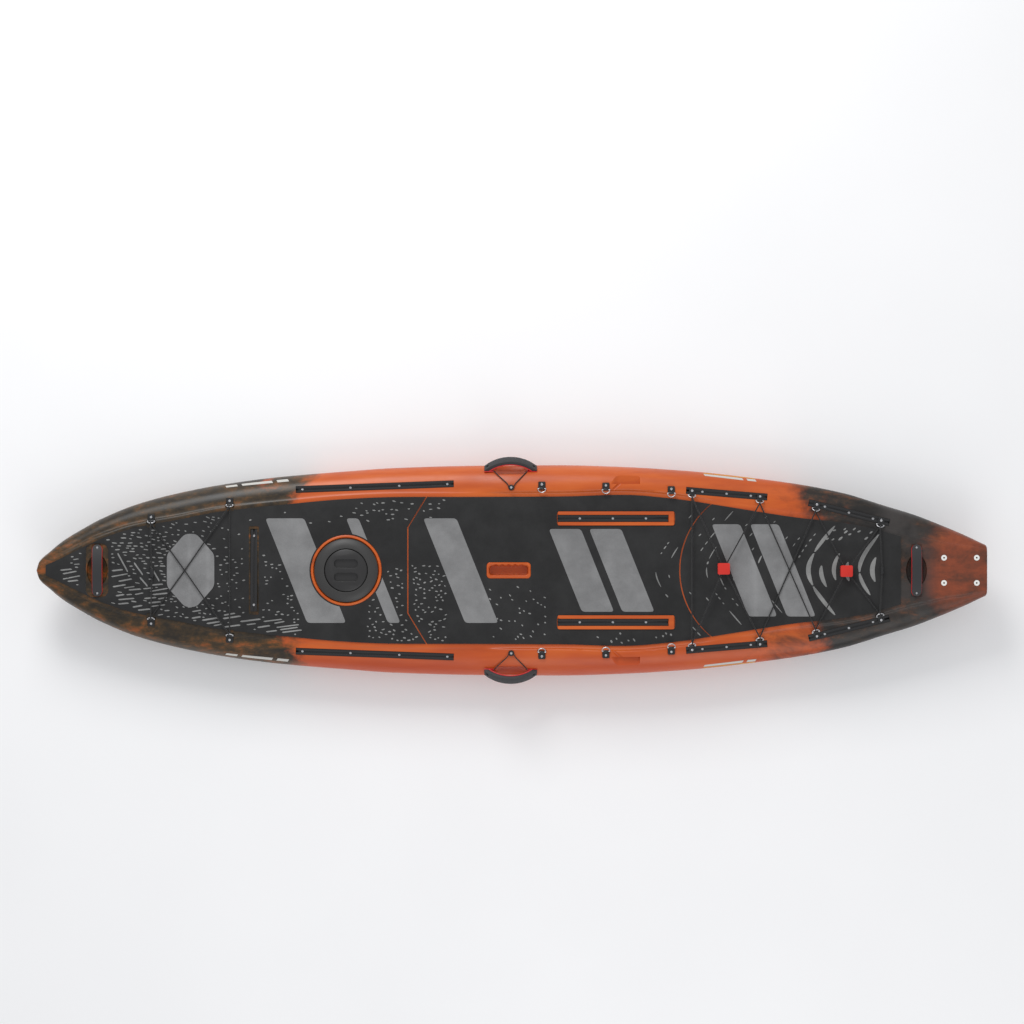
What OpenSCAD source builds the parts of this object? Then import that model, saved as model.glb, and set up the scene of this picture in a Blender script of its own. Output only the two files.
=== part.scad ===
// Hybrid deck kayak: a flat-decked, stand-up, sit-on-top hull with its deck fittings.
// +X runs to the stern, +Y to starboard, +Z up; the origin is under the middle of the hull,
// on the plane that its runners stand on. Lengths are in millimetres.

/* [Hull] */
// Length of the hull from bow to transom
hull_l = 3660; // [3040:10:4400]
// Beam of the hull at its widest
hull_beam = 820; // [680:5:990]
// Height of the bow above the runners
hull_depth = 240; // [200:2:290]
// Wall of the moulded hull
hull_wall = 5; // [4:0.5:8]

/* [Deck pads] */
// Thickness of the foam deck pads
pad_t = 4; // [3:0.5:6]
// Bare strip between a pad and the edge of the deck
pad_margin = 14; // [8:1:24]
// Width of the channel between two pads
channel_w = 5; // [4:1:10]

/* [Hatch] */
// Diameter of the hatch lid
lid_d = 246; // [210:2:290]
// Width of the moulded rim round the lid
rim_w = 11; // [8:1:16]
// Depth of the storage tub
tub_depth = 110; // [80:2:125]
// Diameter of the turn handle
turn_handle_d = 166; // [140:2:180]

/* [Gear tracks] */
// Width of a gear track
track_w = 25; // [22:0.5:31]
// Height of a gear track
track_h = 10; // [9:0.5:13]
// Width of the slot in its top
slot_w = 7.5; // [6:0.5:9]
// Width of the chamber under the slot
chamber_w = 16; // [13:0.5:18]
// Length of the two front tracks
front_track_l = 610; // [500:5:730]
// Length of the two deck tracks
deck_track_l = 426; // [350:2:510]
// Length of the two rear tracks
rear_track_l = 314; // [262:2:376]
// Length of the two stern tracks
stern_track_l = 318; // [265:1:380]
// Length of the cross track
cross_track_l = 318; // [265:1:380]

/* [Carry handles] */
// Overall length of an end handle
end_handle_l = 200; // [168:2:240]
// Rise of an end handle above its seat
end_handle_rise = 27; // [24:1:34]
// Overall length of a side handle
side_handle_l = 204; // [172:2:244]
// Rise of a side handle above its seat
side_handle_rise = 46; // [40:1:55]
// Width of a handle
handle_w = 40; // [34:1:48]

/* [Lashing] */
// Diameter of the wire that rings are bent from
ring_wire_d = 4; // [3:0.5:5]
// Width of a ring across its straight bar
ring_w = 34; // [28:1:41]
// Diameter of the deck bungee cords
bungee_d = 5; // [4:0.5:5]
// Diameter of the paddle-keeper cords
keeper_d = 4; // [3:0.5:4]

/* [Fasteners and openings] */
// Diameter of the fitting screws
screw_d = 5; // [4:0.5:6]
// Length of a stern mount insert
insert_l = 16; // [13:1:20]
// Bore of a stern mount insert
insert_bore_d = 6; // [5:0.5:8]
// Spacing of the stern mount along the hull
mount_x = 126; // [105:1:151]
// Spacing of the stern mount across the hull
mount_y = 97; // [80:1:116]
// Diameter of the drain plug's shaft
drain_d = 18; // [15:0.5:21]

/* [Hidden] */
$fn = 48;
half_l = hull_l / 2;
half_b = hull_beam / 2;
fit_gap = 0.1;      // between a shaft and its bore
seat_gap = 1;       // round a part that drops into a recess
seat_depth = 3;     // flat cut in a curved side for a fitting

// ---- Lines of the hull ----
// One row a station, from bow to transom: its place in percent of the half length, the half
// beam in percent of hull_beam's half, the heights of the keel, the lower chine and the widest
// line in percent of hull_depth, the half widths of the lower chine and of the deck in percent
// of the local half beam, and the heights of the deck and of the side deck's inner edge.
BEAM = 1; KEEL = 2; CHINE_Z = 3; WIDE_Z = 4; CHINE_Y = 5; DECK_Y = 6; DECK_Z = 7; SIDE_Z = 8;
LINES = [
    [-100,   2,    81.5, 84,   89,   50, 40,   98.5, 97],
    [-99.5,  8.8,  74,   80,   86,   50, 42,   98.8, 96.5],
    [-97.5,  17.6, 61.5, 72,   79,   50, 48,   99.2, 96],
    [-95,    27.3, 49.5, 63,   73.5, 50, 52,   99,   95.5],
    [-91,    38.8, 35,   52,   66.5, 52, 60,   96,   92],
    [-87,    48.8, 26,   43,   61,   55, 66,   93.5, 89],
    [-80,    62,   16,   31.5, 54,   60, 69,   88.5, 84.5],
    [-72,    72.2, 10,   23.5, 47,   65, 69,   85.8, 82.5],
    [-62,    81.2, 7,    17.5, 43.3, 70, 72,   82.5, 80],
    [-50,    88.5, 6,    12.5, 41.2, 75, 73,   78.3, 76.6],
    [-35,    94.2, 2.5,  8,    40,   79, 75,   78.3, 76.6],
    [-25,    97.3, 0,    6.2,  40,   80, 74.5, 78.3, 76.6],
    [-8,     99.5, 0,    5.4,  40,   80, 73,   78.3, 77.5],
    [0,      99.8, 0,    5.4,  40,   80, 73,   78.3, 83],
    [10,     100,  0,    5.8,  40,   80, 73,   78.3, 83.5],
    [25,     98,   0,    10,   42.5, 80, 76,   79,   84.5],
    [35,     95.2, 0,    14,   45.5, 80, 74,   79.6, 84.5],
    [40,     93.4, 0,    16.2, 47.5, 80, 72,   80.6, 83],
    [50,     88.3, 0,    23,   52,   79, 68,   81.7, 80.6],
    [62,     80.7, 0,    31,   59,   77, 64.5, 84.5, 82],
    [70.7,   72.6, 1.5,  37,   63,   76, 65.5, 87.3, 84.5],
    [74.3,   67.8, 8,    41,   65,   75, 65.5, 89.3, 86.5],
    [78,     62.4, 13,   45,   66,   74, 64.5, 91.5, 88.5],
    [85,     52.7, 30,   53.5, 68.5, 72, 60,   95.4, 92],
    [90,     44,   43.5, 60.5, 71.5, 70, 60,   96.7, 93],
    [96,     32.4, 64.5, 70,   77.5, 70, 68,   97,   94],
    [99,     25.8, 75,   76,   81.5, 72, 76,   97,   95],
    [100,    23.7, 77,   78.5, 83.5, 74, 80,   97,   95.5]];
LAST = len(LINES) - 1;

function row_at(u, i = 0) = i + 2 > LAST || LINES[i + 1][0] > u ? i : row_at(u, i + 1);
function secant(i, c) = (LINES[i + 1][c] - LINES[i][c]) / (LINES[i + 1][0] - LINES[i][0]);
function slope(i, c) = i == 0 ? secant(0, c) : i == LAST ? secant(LAST - 1, c) :
    let (m = secant(i - 1, c), n = secant(i, c)) m * n <= 0 ? 0 : 2 * m * n / (m + n);
// A smooth line through column c at station u, which never swings past its own rows
function share(c, u) = let (i = row_at(u), a = LINES[i], b = LINES[i + 1], h = b[0] - a[0],
        t = (u - a[0]) / h, tt = t * t, ttt = tt * t)
    (2 * ttt - 3 * tt + 1) * a[c] + (ttt - 2 * tt + t) * h * slope(i, c)
    + (3 * tt - 2 * ttt) * b[c] + (ttt - tt) * h * slope(i + 1, c);

function station_x(u) = u / 100 * half_l;
function station_u(x) = x / half_l * 100;
function half_beam(u) = share(BEAM, u) / 100 * half_b;
function height(c, u) = share(c, u) / 100 * hull_depth;
function ramp(t) = max(0, min(1, t));
function mix(a, b, t) = a + (b - a) * t;

// Stations stand close together at the ends: every third degree of a sine
STATION_STEP = 3;
STATION_N = 30;
INNER_N = 27;                   // the hollow stops this many stations from the middle
function station(i) = 100 * sin(STATION_STEP * i);
RUNNER_END = station(15);       // the runners and lower sides step up from here
RUNNER_OUT = station(16);       // to here
KEEL_H = 8;                     // depth of the centre keel below the bottom
KEEL_HALF = 12;                 // half width of the keel's flat
RUNNER_SHARE = 0.37;            // a runner's place across, of the local half beam
RUNNER_HALF = 16;               // half width of a runner's root
EDGE_W = 6;                     // width of the step between deck and side deck
ROUND = 2.2;                    // roundness of the shoulder, 2 is an ellipse

function step_out(u) = ramp((u - RUNNER_END) / (RUNNER_OUT - RUNNER_END));
function bottom_z(u) = height(KEEL, u) + KEEL_H * half_beam(u) / half_b;
function side_bottom_z(u) = mix(bottom_z(u), height(CHINE_Z, u), 0.3 + 0.65 * step_out(u));
function runner_z(u) = side_bottom_z(u) * (1 - ramp((u + 55) / 25) * (1 - step_out(u)));
function deck_half(u) = half_beam(u) * share(DECK_Y, u) / 100;
function shoulder_y(u) = deck_half(u) + min(EDGE_W, (half_beam(u) - deck_half(u)) / 4);
// Height of the rounded shoulder at y millimetres from the middle
function shoulder_z(u, y) = let (a = shoulder_y(u), s = ramp((y - a) / (half_beam(u) - a)))
    height(WIDE_Z, u) + (height(SIDE_Z, u) - height(WIDE_Z, u)) * pow(1 - pow(s, ROUND), 1 / ROUND);

// Half of a cross section, from the keel out and up to the deck
function outer_half(u) = let (b = half_beam(u), k = min(KEEL_HALF, 0.06 * b),
        r = RUNNER_SHARE * b, h = min(RUNNER_HALF, 0.08 * b), cy = b * share(CHINE_Y, u) / 100,
        cz = height(CHINE_Z, u), wz = height(WIDE_Z, u), a = shoulder_y(u)) concat(
    [[k, height(KEEL, u)], [1.4 * k, bottom_z(u)], [r - h, side_bottom_z(u)],
     [r - 0.6 * h, runner_z(u)], [r + 0.6 * h, runner_z(u)], [r + h, side_bottom_z(u)],
     [cy, cz], [mix(cy, b, 0.62), mix(cz, wz, 0.42)], [b, wz]],
    [for (t = [80, 66, 50, 34, 17, 0]) let (s = pow(sin(t), 2 / ROUND), c = pow(cos(t), 2 / ROUND))
        [a + (b - a) * s, wz + (height(SIDE_Z, u) - wz) * c]],
    [[deck_half(u), height(DECK_Z, u)]]);
// The same section one wall further in; lean says which way the step at the deck's edge runs
function inner_half(u) = let (w = hull_wall, b = half_beam(u), cy = b * share(CHINE_Y, u) / 100,
        cz = height(CHINE_Z, u), wz = height(WIDE_Z, u), a = shoulder_y(u), top = height(SIDE_Z, u) - w,
        lean = height(SIDE_Z, u) > height(DECK_Z, u) ? 0.7 * w : -0.7 * w) concat(
    [[0.1 * b, bottom_z(u) + w], [0.3 * b, side_bottom_z(u) + w], [cy - 0.6 * w, cz + 1.1 * w],
     [mix(cy, b, 0.62) - w, mix(cz, wz, 0.42) + 0.4 * w]],
    [for (t = [90, 66, 42, 18]) let (s = pow(sin(t), 2 / ROUND), c = pow(cos(t), 2 / ROUND))
        [a + (b - w - a) * s, wz + (top - wz) * c]],
    [[a + lean, top], [deck_half(u) + min(0, lean), height(DECK_Z, u) - w]]);

function ring_of(half, u) = concat([for (p = half) [station_x(u), p[0], p[1]]],
    [for (i = [len(half) - 1:-1:0]) [station_x(u), -half[i][0], half[i][1]]]);
module loft(rings) {
    n = len(rings[0]);
    m = len(rings);
    polyhedron(points = [for (r = rings) each r], faces = concat([[for (i = [0:n - 1]) i]],
        [for (j = [0:m - 2], i = [0:n - 1]) let (k = (i + 1) % n)
            each [[j * n + i, (j + 1) * n + i, (j + 1) * n + k], [j * n + i, (j + 1) * n + k, j * n + k]]],
        [[for (i = [n - 1:-1:0]) (m - 1) * n + i]]));
}

// ---- Places on the deck ----
// Height of the flat deck, which runs straight from station to station
function deck_z(x) = let (i = floor(asin(max(-1, min(1, x / half_l))) / STATION_STEP),
        i0 = min(i, STATION_N - 1), a = station(i0), b = station(i0 + 1))
    mix(height(DECK_Z, a), height(DECK_Z, b), (station_u(x) - a) / (b - a));
function pitch(x, l) = atan2(deck_z(x - l / 2) - deck_z(x + l / 2), l);

// A place: [x, y, z, pitch about Y, yaw about Z]. Its floor is the plane z = 0.
module at(p) { translate([p[0], p[1], p[2]]) rotate([0, p[3], p[4]]) children(); }
module both_sides() { children(); mirror([0, 1, 0]) children(); }

TRACK_PROUD = 2;        // how far a shoulder track stands above the hull's outer edge of it
FRONT_TRACK_U = -29; FRONT_TRACK_IN = 71; FRONT_TRACK_YAW = 2.1;
REAR_TRACK_U = 45.3; REAR_TRACK_IN = 76.5; REAR_TRACK_YAW = -4.7;
STERN_TRACK_U = 71.1; STERN_TRACK_IN = 73; STERN_TRACK_YAW = -14.2;
DECK_TRACK_U = 21.3; DECK_TRACK_IN = 105;   // from the deck's edge
CROSS_TRACK_U = -54.5;
function shoulder_track(u, inset, l, yaw) = let (x = station_x(u), y = half_beam(u) - inset,
        dx = l / 2 * cos(yaw), dy = l / 2 * sin(yaw), out = track_w / 2,
        za = shoulder_z(station_u(x - dx), y - dy + out), zb = shoulder_z(station_u(x + dx), y + dy + out))
    [x, y, (za + zb) / 2 - track_h + TRACK_PROUD, atan2(za - zb, 2 * dx), yaw];
FRONT_TRACK = shoulder_track(FRONT_TRACK_U, FRONT_TRACK_IN, front_track_l, FRONT_TRACK_YAW);
REAR_TRACK = shoulder_track(REAR_TRACK_U, REAR_TRACK_IN, rear_track_l, REAR_TRACK_YAW);
STERN_TRACK = shoulder_track(STERN_TRACK_U, STERN_TRACK_IN, stern_track_l, STERN_TRACK_YAW);
deck_track_x = station_x(DECK_TRACK_U);
DECK_TRACK = [deck_track_x, deck_half(DECK_TRACK_U) - DECK_TRACK_IN,
    deck_z(deck_track_x) + pad_t - track_h, pitch(deck_track_x, deck_track_l), 0];
cross_track_x = station_x(CROSS_TRACK_U);
CROSS_TRACK = [cross_track_x, 0, deck_z(cross_track_x) + pad_t - track_h, pitch(cross_track_x, track_w), 90];
FRONT_SCREWS = [-0.46, -0.155, 0.155, 0.46];
SHORT_SCREWS = [-0.3, 0, 0.3];
CROSS_SCREWS = [-0.42, 0.42];

// Everything that stands where a track stands: children draw it along X from its middle
module track_places(which) {
    if (which == "front") at(FRONT_TRACK) children();
    if (which == "rear") at(REAR_TRACK) children();
    if (which == "stern") at(STERN_TRACK) children();
    if (which == "deck") at(DECK_TRACK) children();
}

hatch_x = station_x(-35);
hatch_z = deck_z(hatch_x);
RIM_H = 8;              // rim above the deck
POCKET_H = 4;           // hatch pocket below the deck
lid_gap = 3;
rim_in_r = lid_d / 2 + lid_gap;
rim_out_r = rim_in_r + rim_w;
pocket_z = hatch_z - POCKET_H;
FLANGE_T = 4; GASKET_T = 3; TUB_WALL = 3;
flange_r = lid_d / 2 - 6;
tub_r = flange_r - 19;          // outside of the tub
opening_r = tub_r + 1;
lid_z = pocket_z + FLANGE_T + GASKET_T;
handle_r = turn_handle_d / 2;
SPINDLE_R = 12;
SPINDLE_GAP = 0.08;
BAR_T = 6;
bar_z = lid_z - 11;

bow_handle_x = station_x(-87.3);
stern_handle_x = station_x(85.1);
BOW_HANDLE = [bow_handle_x, 0, deck_z(bow_handle_x) - seat_gap, pitch(bow_handle_x, handle_w), 0];
STERN_HANDLE = [stern_handle_x, 0, deck_z(stern_handle_x) - seat_gap, pitch(stern_handle_x, handle_w), 0];
side_handle_u = -0.3;
SIDE_HANDLE_IN = 15;
SIDE_HANDLE_LEAN = 35;  // degrees above level that the side handles point
side_handle_y = half_beam(side_handle_u) - SIDE_HANDLE_IN;
side_handle_z = shoulder_z(side_handle_u, side_handle_y);
module at_side_handle() {
    translate([station_x(side_handle_u), side_handle_y, side_handle_z])
        rotate([SIDE_HANDLE_LEAN - 90, 0, 0]) translate([0, 0, -seat_depth]) rotate(90) children();
}

// Anchors stand on flats cut level with the outer edge of their base
BASE_L = 27; BASE_D = 26; BASE_T = 6; BAR_H = 8;
HOLE_Y = 2;             // a base's screw stands this far outboard of its middle
SEAT_ANCHOR_IN = 80; BOW_ANCHOR_IN = 73;
SEAT_ANCHORS = [6.3, 19.8, 33.6];
BOW_ANCHORS = [-76.1, -59.6];
function anchor(u, inset) = let (y = half_beam(u) - inset)
    [station_x(u), y, shoulder_z(u, y + BASE_D / 2 + seat_gap) - 0.5, 0, 0];
EYELETS = [[-0.43, "rear"], [0.41, "rear"], [-0.4, "stern"], [0.4, "stern"]];
EYELET_W = 24;
FREE_TILT = 6;          // a free ring lies on the side deck
BOW_TILT = 62;          // a ring that a cord pulls on stands up
EYELET_TILT = 50;
ring_r = ring_w / 2 - ring_wire_d / 2;
BUTTON_U = -0.16; BUTTON_IN = 89; BUTTON_R = 11; BUTTON_H = 11;
function button_place() = let (y = half_beam(BUTTON_U) - BUTTON_IN)
    [station_x(BUTTON_U), y, shoulder_z(BUTTON_U, y + BUTTON_R + seat_gap) - 0.5, 0, 0];

mount_cx = half_l - 104;
mount_z = min(deck_z(mount_cx - mount_x / 2), deck_z(mount_cx + mount_x / 2)) - 1;
INSERT_R = 5.5; WASHER_R = 11; WASHER_T = 1.5;
module mount_places() {
    for (i = [-1, 1], j = [-1, 1]) translate([mount_cx + i * mount_x / 2, j * mount_y / 2, mount_z]) children();
}
drain_r = drain_d / 2;
DRAIN_POCKET = 12;
drain_z = (height(KEEL, 100) + height(DECK_Z, 100)) / 2;
module at_drain() { translate([half_l - DRAIN_POCKET, 0, drain_z]) rotate([0, 90, 0]) children(); }

GRIP_U = -0.7; GRIP_L = 150; GRIP_W = 37; GRIP_D = 34;
GRIP_FRAME_L = 172; GRIP_FRAME_W = 64;
grip_x = station_x(GRIP_U);
NOTCH_U = 24.6; NOTCH_L = 88; NOTCH_D = 18;     // paddle notch in each side deck

// ---- Shapes that repeat ----
module bar(l, w, h) { translate([-l / 2, -w / 2, 0]) cube([l, w, h]); }
module rounded(l, w, r) {
    union() {
        square([l - 2 * r, w], center = true);
        square([l, w - 2 * r], center = true);
        for (i = [-1, 1], j = [-1, 1]) translate([i * (l / 2 - r), j * (w / 2 - r)]) circle(r);
    }
}
TRACK_FLOOR = 2.5; TRACK_LIP = 2.5; HEAD_R = 4.6;
module track(l, screws) {
    color([0.06, 0.06, 0.07]) difference() {
        rotate([90, 0, 90]) translate([0, 0, -l / 2]) linear_extrude(l) difference() {
            translate([-track_w / 2, 0]) square([track_w, track_h]);
            translate([-chamber_w / 2, TRACK_FLOOR]) square([chamber_w, track_h - TRACK_FLOOR - TRACK_LIP]);
            translate([-slot_w / 2, TRACK_FLOOR]) square([slot_w, track_h]);
        }
        for (s = screws) translate([s * l, 0, -1]) {
            cylinder(r = screw_d / 2 + fit_gap, h = track_h);
            translate([0, 0, 1 + TRACK_FLOOR]) cylinder(r = HEAD_R + 0.6, h = track_h);
        }
    }
}
SCREW_L = 14;
module screw(l = SCREW_L, head = HEAD_R, head_t = 2.6) {
    color("silver") union() {
        translate([0, 0, -l]) cylinder(d = screw_d, h = l + 0.5);
        difference() {
            cylinder(r = head, h = head_t);
            translate([0, 0, head_t - 1.4]) bar(2 * head - 3, 1.2, 3);
            translate([0, 0, head_t - 1.4]) bar(1.2, 2 * head - 3, 3);
        }
    }
}
// Every screw hole is a little larger than its shank
module screw_hole(l = SCREW_L + 6) { translate([0, 0, -l]) cylinder(r = screw_d / 2 + fit_gap, h = l + 1); }
function screw_list(which) = which == "front" ? FRONT_SCREWS : SHORT_SCREWS;
function length_of(which) = which == "front" ? front_track_l : which == "rear" ? rear_track_l :
    which == "stern" ? stern_track_l : deck_track_l;

// Outline across a handle's span: a grip arch with feet, or the liner that lies under it
FOOT_L = 36; LINER_T = 3; FOOT_T = 5; GRIP_T = 12;
module handle_arch(l, rise, from, to) {
    half = l / 2 - FOOT_L / 2;
    crown = rise - GRIP_T - LINER_T;        // underside of the arch at its middle
    r = (half * half + crown * crown) / (2 * crown);
    intersection() {
        difference() {
            translate([0, crown - r]) circle(r + to, $fn = 96);
            translate([0, crown - r]) circle(r + from, $fn = 96);
        }
        translate([-l / 2, 0]) square([l, rise + 5]);
    }
}
module handle_liner(l, rise) {
    color([0.75, 0.1, 0.12]) difference() {
        rotate([90, 0, 90]) translate([0, 0, -handle_w / 2]) linear_extrude(handle_w) union() {
            handle_arch(l, rise, 0, LINER_T);
            for (i = [-1, 1]) translate([i * (l - FOOT_L) / 2 - FOOT_L / 2, 0]) square([FOOT_L, LINER_T]);
        }
        handle_screw_places(l) screw_hole();
    }
}
module handle_grip(l, rise) {
    w = handle_w - 4;
    color([0.09, 0.09, 0.1]) difference() {
        rotate([90, 0, 90]) translate([0, 0, -w / 2]) linear_extrude(w) difference() {
            union() {
                handle_arch(l, rise, LINER_T, LINER_T + GRIP_T);
                for (i = [-1, 1]) translate([i * (l - FOOT_L) / 2 - FOOT_L / 2 + i * -1, 0])
                    square([FOOT_L - 2, LINER_T + FOOT_T]);
            }
            handle_arch(l, rise, -50, LINER_T);
            translate([-l / 2, -1]) square([l, 1 + LINER_T]);
        }
        handle_screw_places(l) {
            screw_hole();
            cylinder(r = HEAD_R + 0.6, h = 40);
        }
    }
}
// Screw heads bear on the foot, and the arch leaves room above them
module handle_screw_places(l) {
    for (i = [-1, 1]) translate([0, i * (l / 2 - 12), LINER_T + FOOT_T - 2]) children();
}

module wire_ring(tilt) {
    color("silver") rotate([tilt, 0, 0]) union() {
        rotate([0, 0, 180]) rotate_extrude(angle = 180) translate([ring_r, 0]) circle(d = ring_wire_d, $fn = 20);
        rotate([0, 90, 0]) cylinder(d = ring_wire_d, h = 2 * ring_r, center = true, $fn = 20);
        for (i = [-1, 1]) translate([i * ring_r, 0, 0]) sphere(d = ring_wire_d, $fn = 20);
    }
}
// Room beside a base for the bar of its ring
module ring_relief() { translate([0, -BASE_D / 2 - 4, 0]) bar(ring_w + 2, 14, 30); }
// Base block of an anchor; its loop for the ring's bar is at the inboard edge
module anchor_base(w = BASE_L) {
    d = BASE_D;
    loop_r = ring_wire_d / 2 + 2.4;
    color([0.08, 0.08, 0.08]) difference() {
        union() {
            linear_extrude(BASE_T) rounded(w, d, 4);
            translate([0, -d / 2 - 1, BAR_H]) rotate([0, 90, 0]) cylinder(r = loop_r, h = 2 * ring_r - 10, center = true);
            translate([5 - ring_r, -d / 2 - 1, 0]) cube([2 * ring_r - 10, 8, BAR_H]);
        }
        translate([0, -d / 2 - 1, BAR_H]) rotate([0, 90, 0]) cylinder(r = ring_wire_d / 2 + 0.08, h = w + 2, center = true);
        translate([0, HOLE_Y, -1]) cylinder(r = screw_d / 2 + fit_gap, h = 20);
    }
}
module anchor_screw() { translate([0, HOLE_Y, BASE_T]) screw(); }
module anchor_ring(tilt) { translate([0, -BASE_D / 2 - 1, BAR_H]) wire_ring(-tilt); }

// ---- Recesses, drawn as what is cut away ----
module track_recess(l, grow = 0) {
    translate([0, 0, -grow]) bar(l + 2 * seat_gap + 2 * grow, track_w + 2 * seat_gap + 2 * grow, track_h + 40 + grow);
}
// A trough for fingers under an end handle
SCOOP_W = 80; SCOOP_L = 118; SCOOP_D = 20;
module scoop(w, l, d, grow = 0) {
    r = (w * w / 4 + d * d) / (2 * d);
    translate([0, 0, r - d]) rotate([90, 0, 0]) cylinder(r = r + grow, h = l + 2 * grow, center = true, $fn = 64);
}
module end_handle_seat(grow = 0) {
    for (i = [-1, 1]) translate([0, i * (end_handle_l - FOOT_L) / 2, -grow])
        bar(handle_w + 2 * seat_gap + 2 * grow, FOOT_L + 2 * seat_gap + 2 * grow, 30);
    intersection() {
        scoop(SCOOP_W, SCOOP_L, SCOOP_D, grow);
        translate([0, 0, -60]) bar(SCOOP_W + 2 * grow, SCOOP_L + 2 * grow, 90);
    }
}
module side_handle_seat(grow = 0) {
    translate([0, 0, -grow]) bar(handle_w + 8 + 2 * grow, side_handle_l + 4 + 2 * grow, 60);
    intersection() {
        scoop(70, 120, 16, grow);
        translate([0, 0, -60]) bar(70 + 2 * grow, 120 + 2 * grow, 90);
    }
}
module grip_recess(grow = 0) {
    translate([grip_x, 0, deck_z(grip_x) - GRIP_D - grow]) linear_extrude(GRIP_D + 40)
        rounded(GRIP_L + 2 * grow, GRIP_W + 2 * grow, 12);
}
module hatch_pocket(grow = 0) {
    translate([hatch_x, 0, pocket_z - grow]) cylinder(r = rim_in_r + grow, h = 60, $fn = 96);
}
// The side deck dips for a paddle shaft: a sloped way down and an upright end
module paddle_notch() {
    x = station_x(NOTCH_U);
    z = height(SIDE_Z, NOTCH_U) - NOTCH_D;
    translate([x, deck_half(NOTCH_U) + 22, z]) rotate([90, 0, 180]) linear_extrude(200)
        polygon([[-NOTCH_L / 2, 0], [NOTCH_L / 2, 0], [NOTCH_L / 2 + 48, 30], [-NOTCH_L / 2, 30]]);
}
module all_recesses(grow = 0) {
    both_sides() {
        at(FRONT_TRACK) track_recess(front_track_l, grow);
        at(REAR_TRACK) track_recess(rear_track_l, grow);
        at(STERN_TRACK) track_recess(stern_track_l, grow);
        at(DECK_TRACK) track_recess(deck_track_l, grow);
        at_side_handle() side_handle_seat(grow);
    }
    at(CROSS_TRACK) track_recess(cross_track_l, grow);
    at(BOW_HANDLE) end_handle_seat(grow);
    at(STERN_HANDLE) end_handle_seat(grow);
    grip_recess(grow);
    hatch_pocket(grow);
}

// ---- Sub-parts ----
module hull() {
    color([0.8, 0.36, 0.14]) difference() {
        union() {
            loft([for (i = [-STATION_N:STATION_N]) ring_of(outer_half(station(i)), station(i))]);
            translate([hatch_x, 0, hatch_z - 2]) cylinder(r = rim_out_r, h = RIM_H + 2, $fn = 96);
        }
        difference() {
            loft([for (i = [-INNER_N:INNER_N]) ring_of(inner_half(station(i)), station(i))]);
            all_recesses(hull_wall);
        }
        all_recesses();
        both_sides() {
            paddle_notch();
            for (u = SEAT_ANCHORS) at(anchor(u, SEAT_ANCHOR_IN)) anchor_flat();
            for (u = BOW_ANCHORS) at(anchor(u, BOW_ANCHOR_IN)) anchor_flat();
            at(button_place()) {
                cylinder(r = BUTTON_R + seat_gap, h = 30);
                screw_hole();
            }
            for (w = ["front", "rear", "stern", "deck"]) track_places(w)
                for (s = screw_list(w)) translate([s * length_of(w), 0, TRACK_FLOOR]) screw_hole();
            at_side_handle() handle_screw_places(side_handle_l) screw_hole();
            for (e = EYELETS) track_places(e[1]) translate([e[0] * length_of(e[1]), -HOLE_Y, track_h]) ring_relief();
        }
        at(CROSS_TRACK) for (s = CROSS_SCREWS) translate([s * cross_track_l, 0, TRACK_FLOOR]) screw_hole();
        for (p = [BOW_HANDLE, STERN_HANDLE]) at(p) handle_screw_places(end_handle_l) screw_hole();
        translate([hatch_x, 0, pocket_z - 20]) cylinder(r = opening_r, h = 40, $fn = 96);
        mount_places() {
            cylinder(r = WASHER_R + seat_gap, h = 20);
            translate([0, 0, -20]) cylinder(r = INSERT_R + fit_gap, h = 21);
        }
        at_drain() {
            cylinder(r = drain_r + 9, h = 30);
            translate([0, 0, -25]) cylinder(r = drain_r + 2.6, h = 30);
        }
    }
}
module anchor_flat() {
    bar(BASE_L + 2 * seat_gap, BASE_D + 2 * seat_gap, 30);
    ring_relief();
    translate([0, HOLE_Y, 0]) screw_hole();
}

// A deck pad is a sheet that follows the deck from station to station
PAD_BOW = -98; PAD_STERN = 81.8;
PAD_BENDS = [for (i = [-STATION_N:STATION_N]) if (abs(station(i)) < 99.9) station_x(station(i))];
function pad_edge(u) = deck_half(u) - min(pad_margin, 0.35 * deck_half(u));
CHANNEL_1 = station_x(-22);     // where the first channel crosses the middle
CHANNEL_2 = station_x(35.4);
CHANNEL_SWEEP = 330;            // radius of the second channel
CHANNEL_BEND = 165;             // where the first channel turns aft
FRAME_W = 15;                   // bare strip round a deck track
module pad_outline() {
    n = 60;
    us = [for (i = [0:n]) mix(PAD_BOW, PAD_STERN, i / n)];
    polygon(concat([for (u = us) [station_x(u), -pad_edge(u)]],
        [for (i = [n:-1:0]) [station_x(us[i]), pad_edge(us[i])]]));
}
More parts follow.
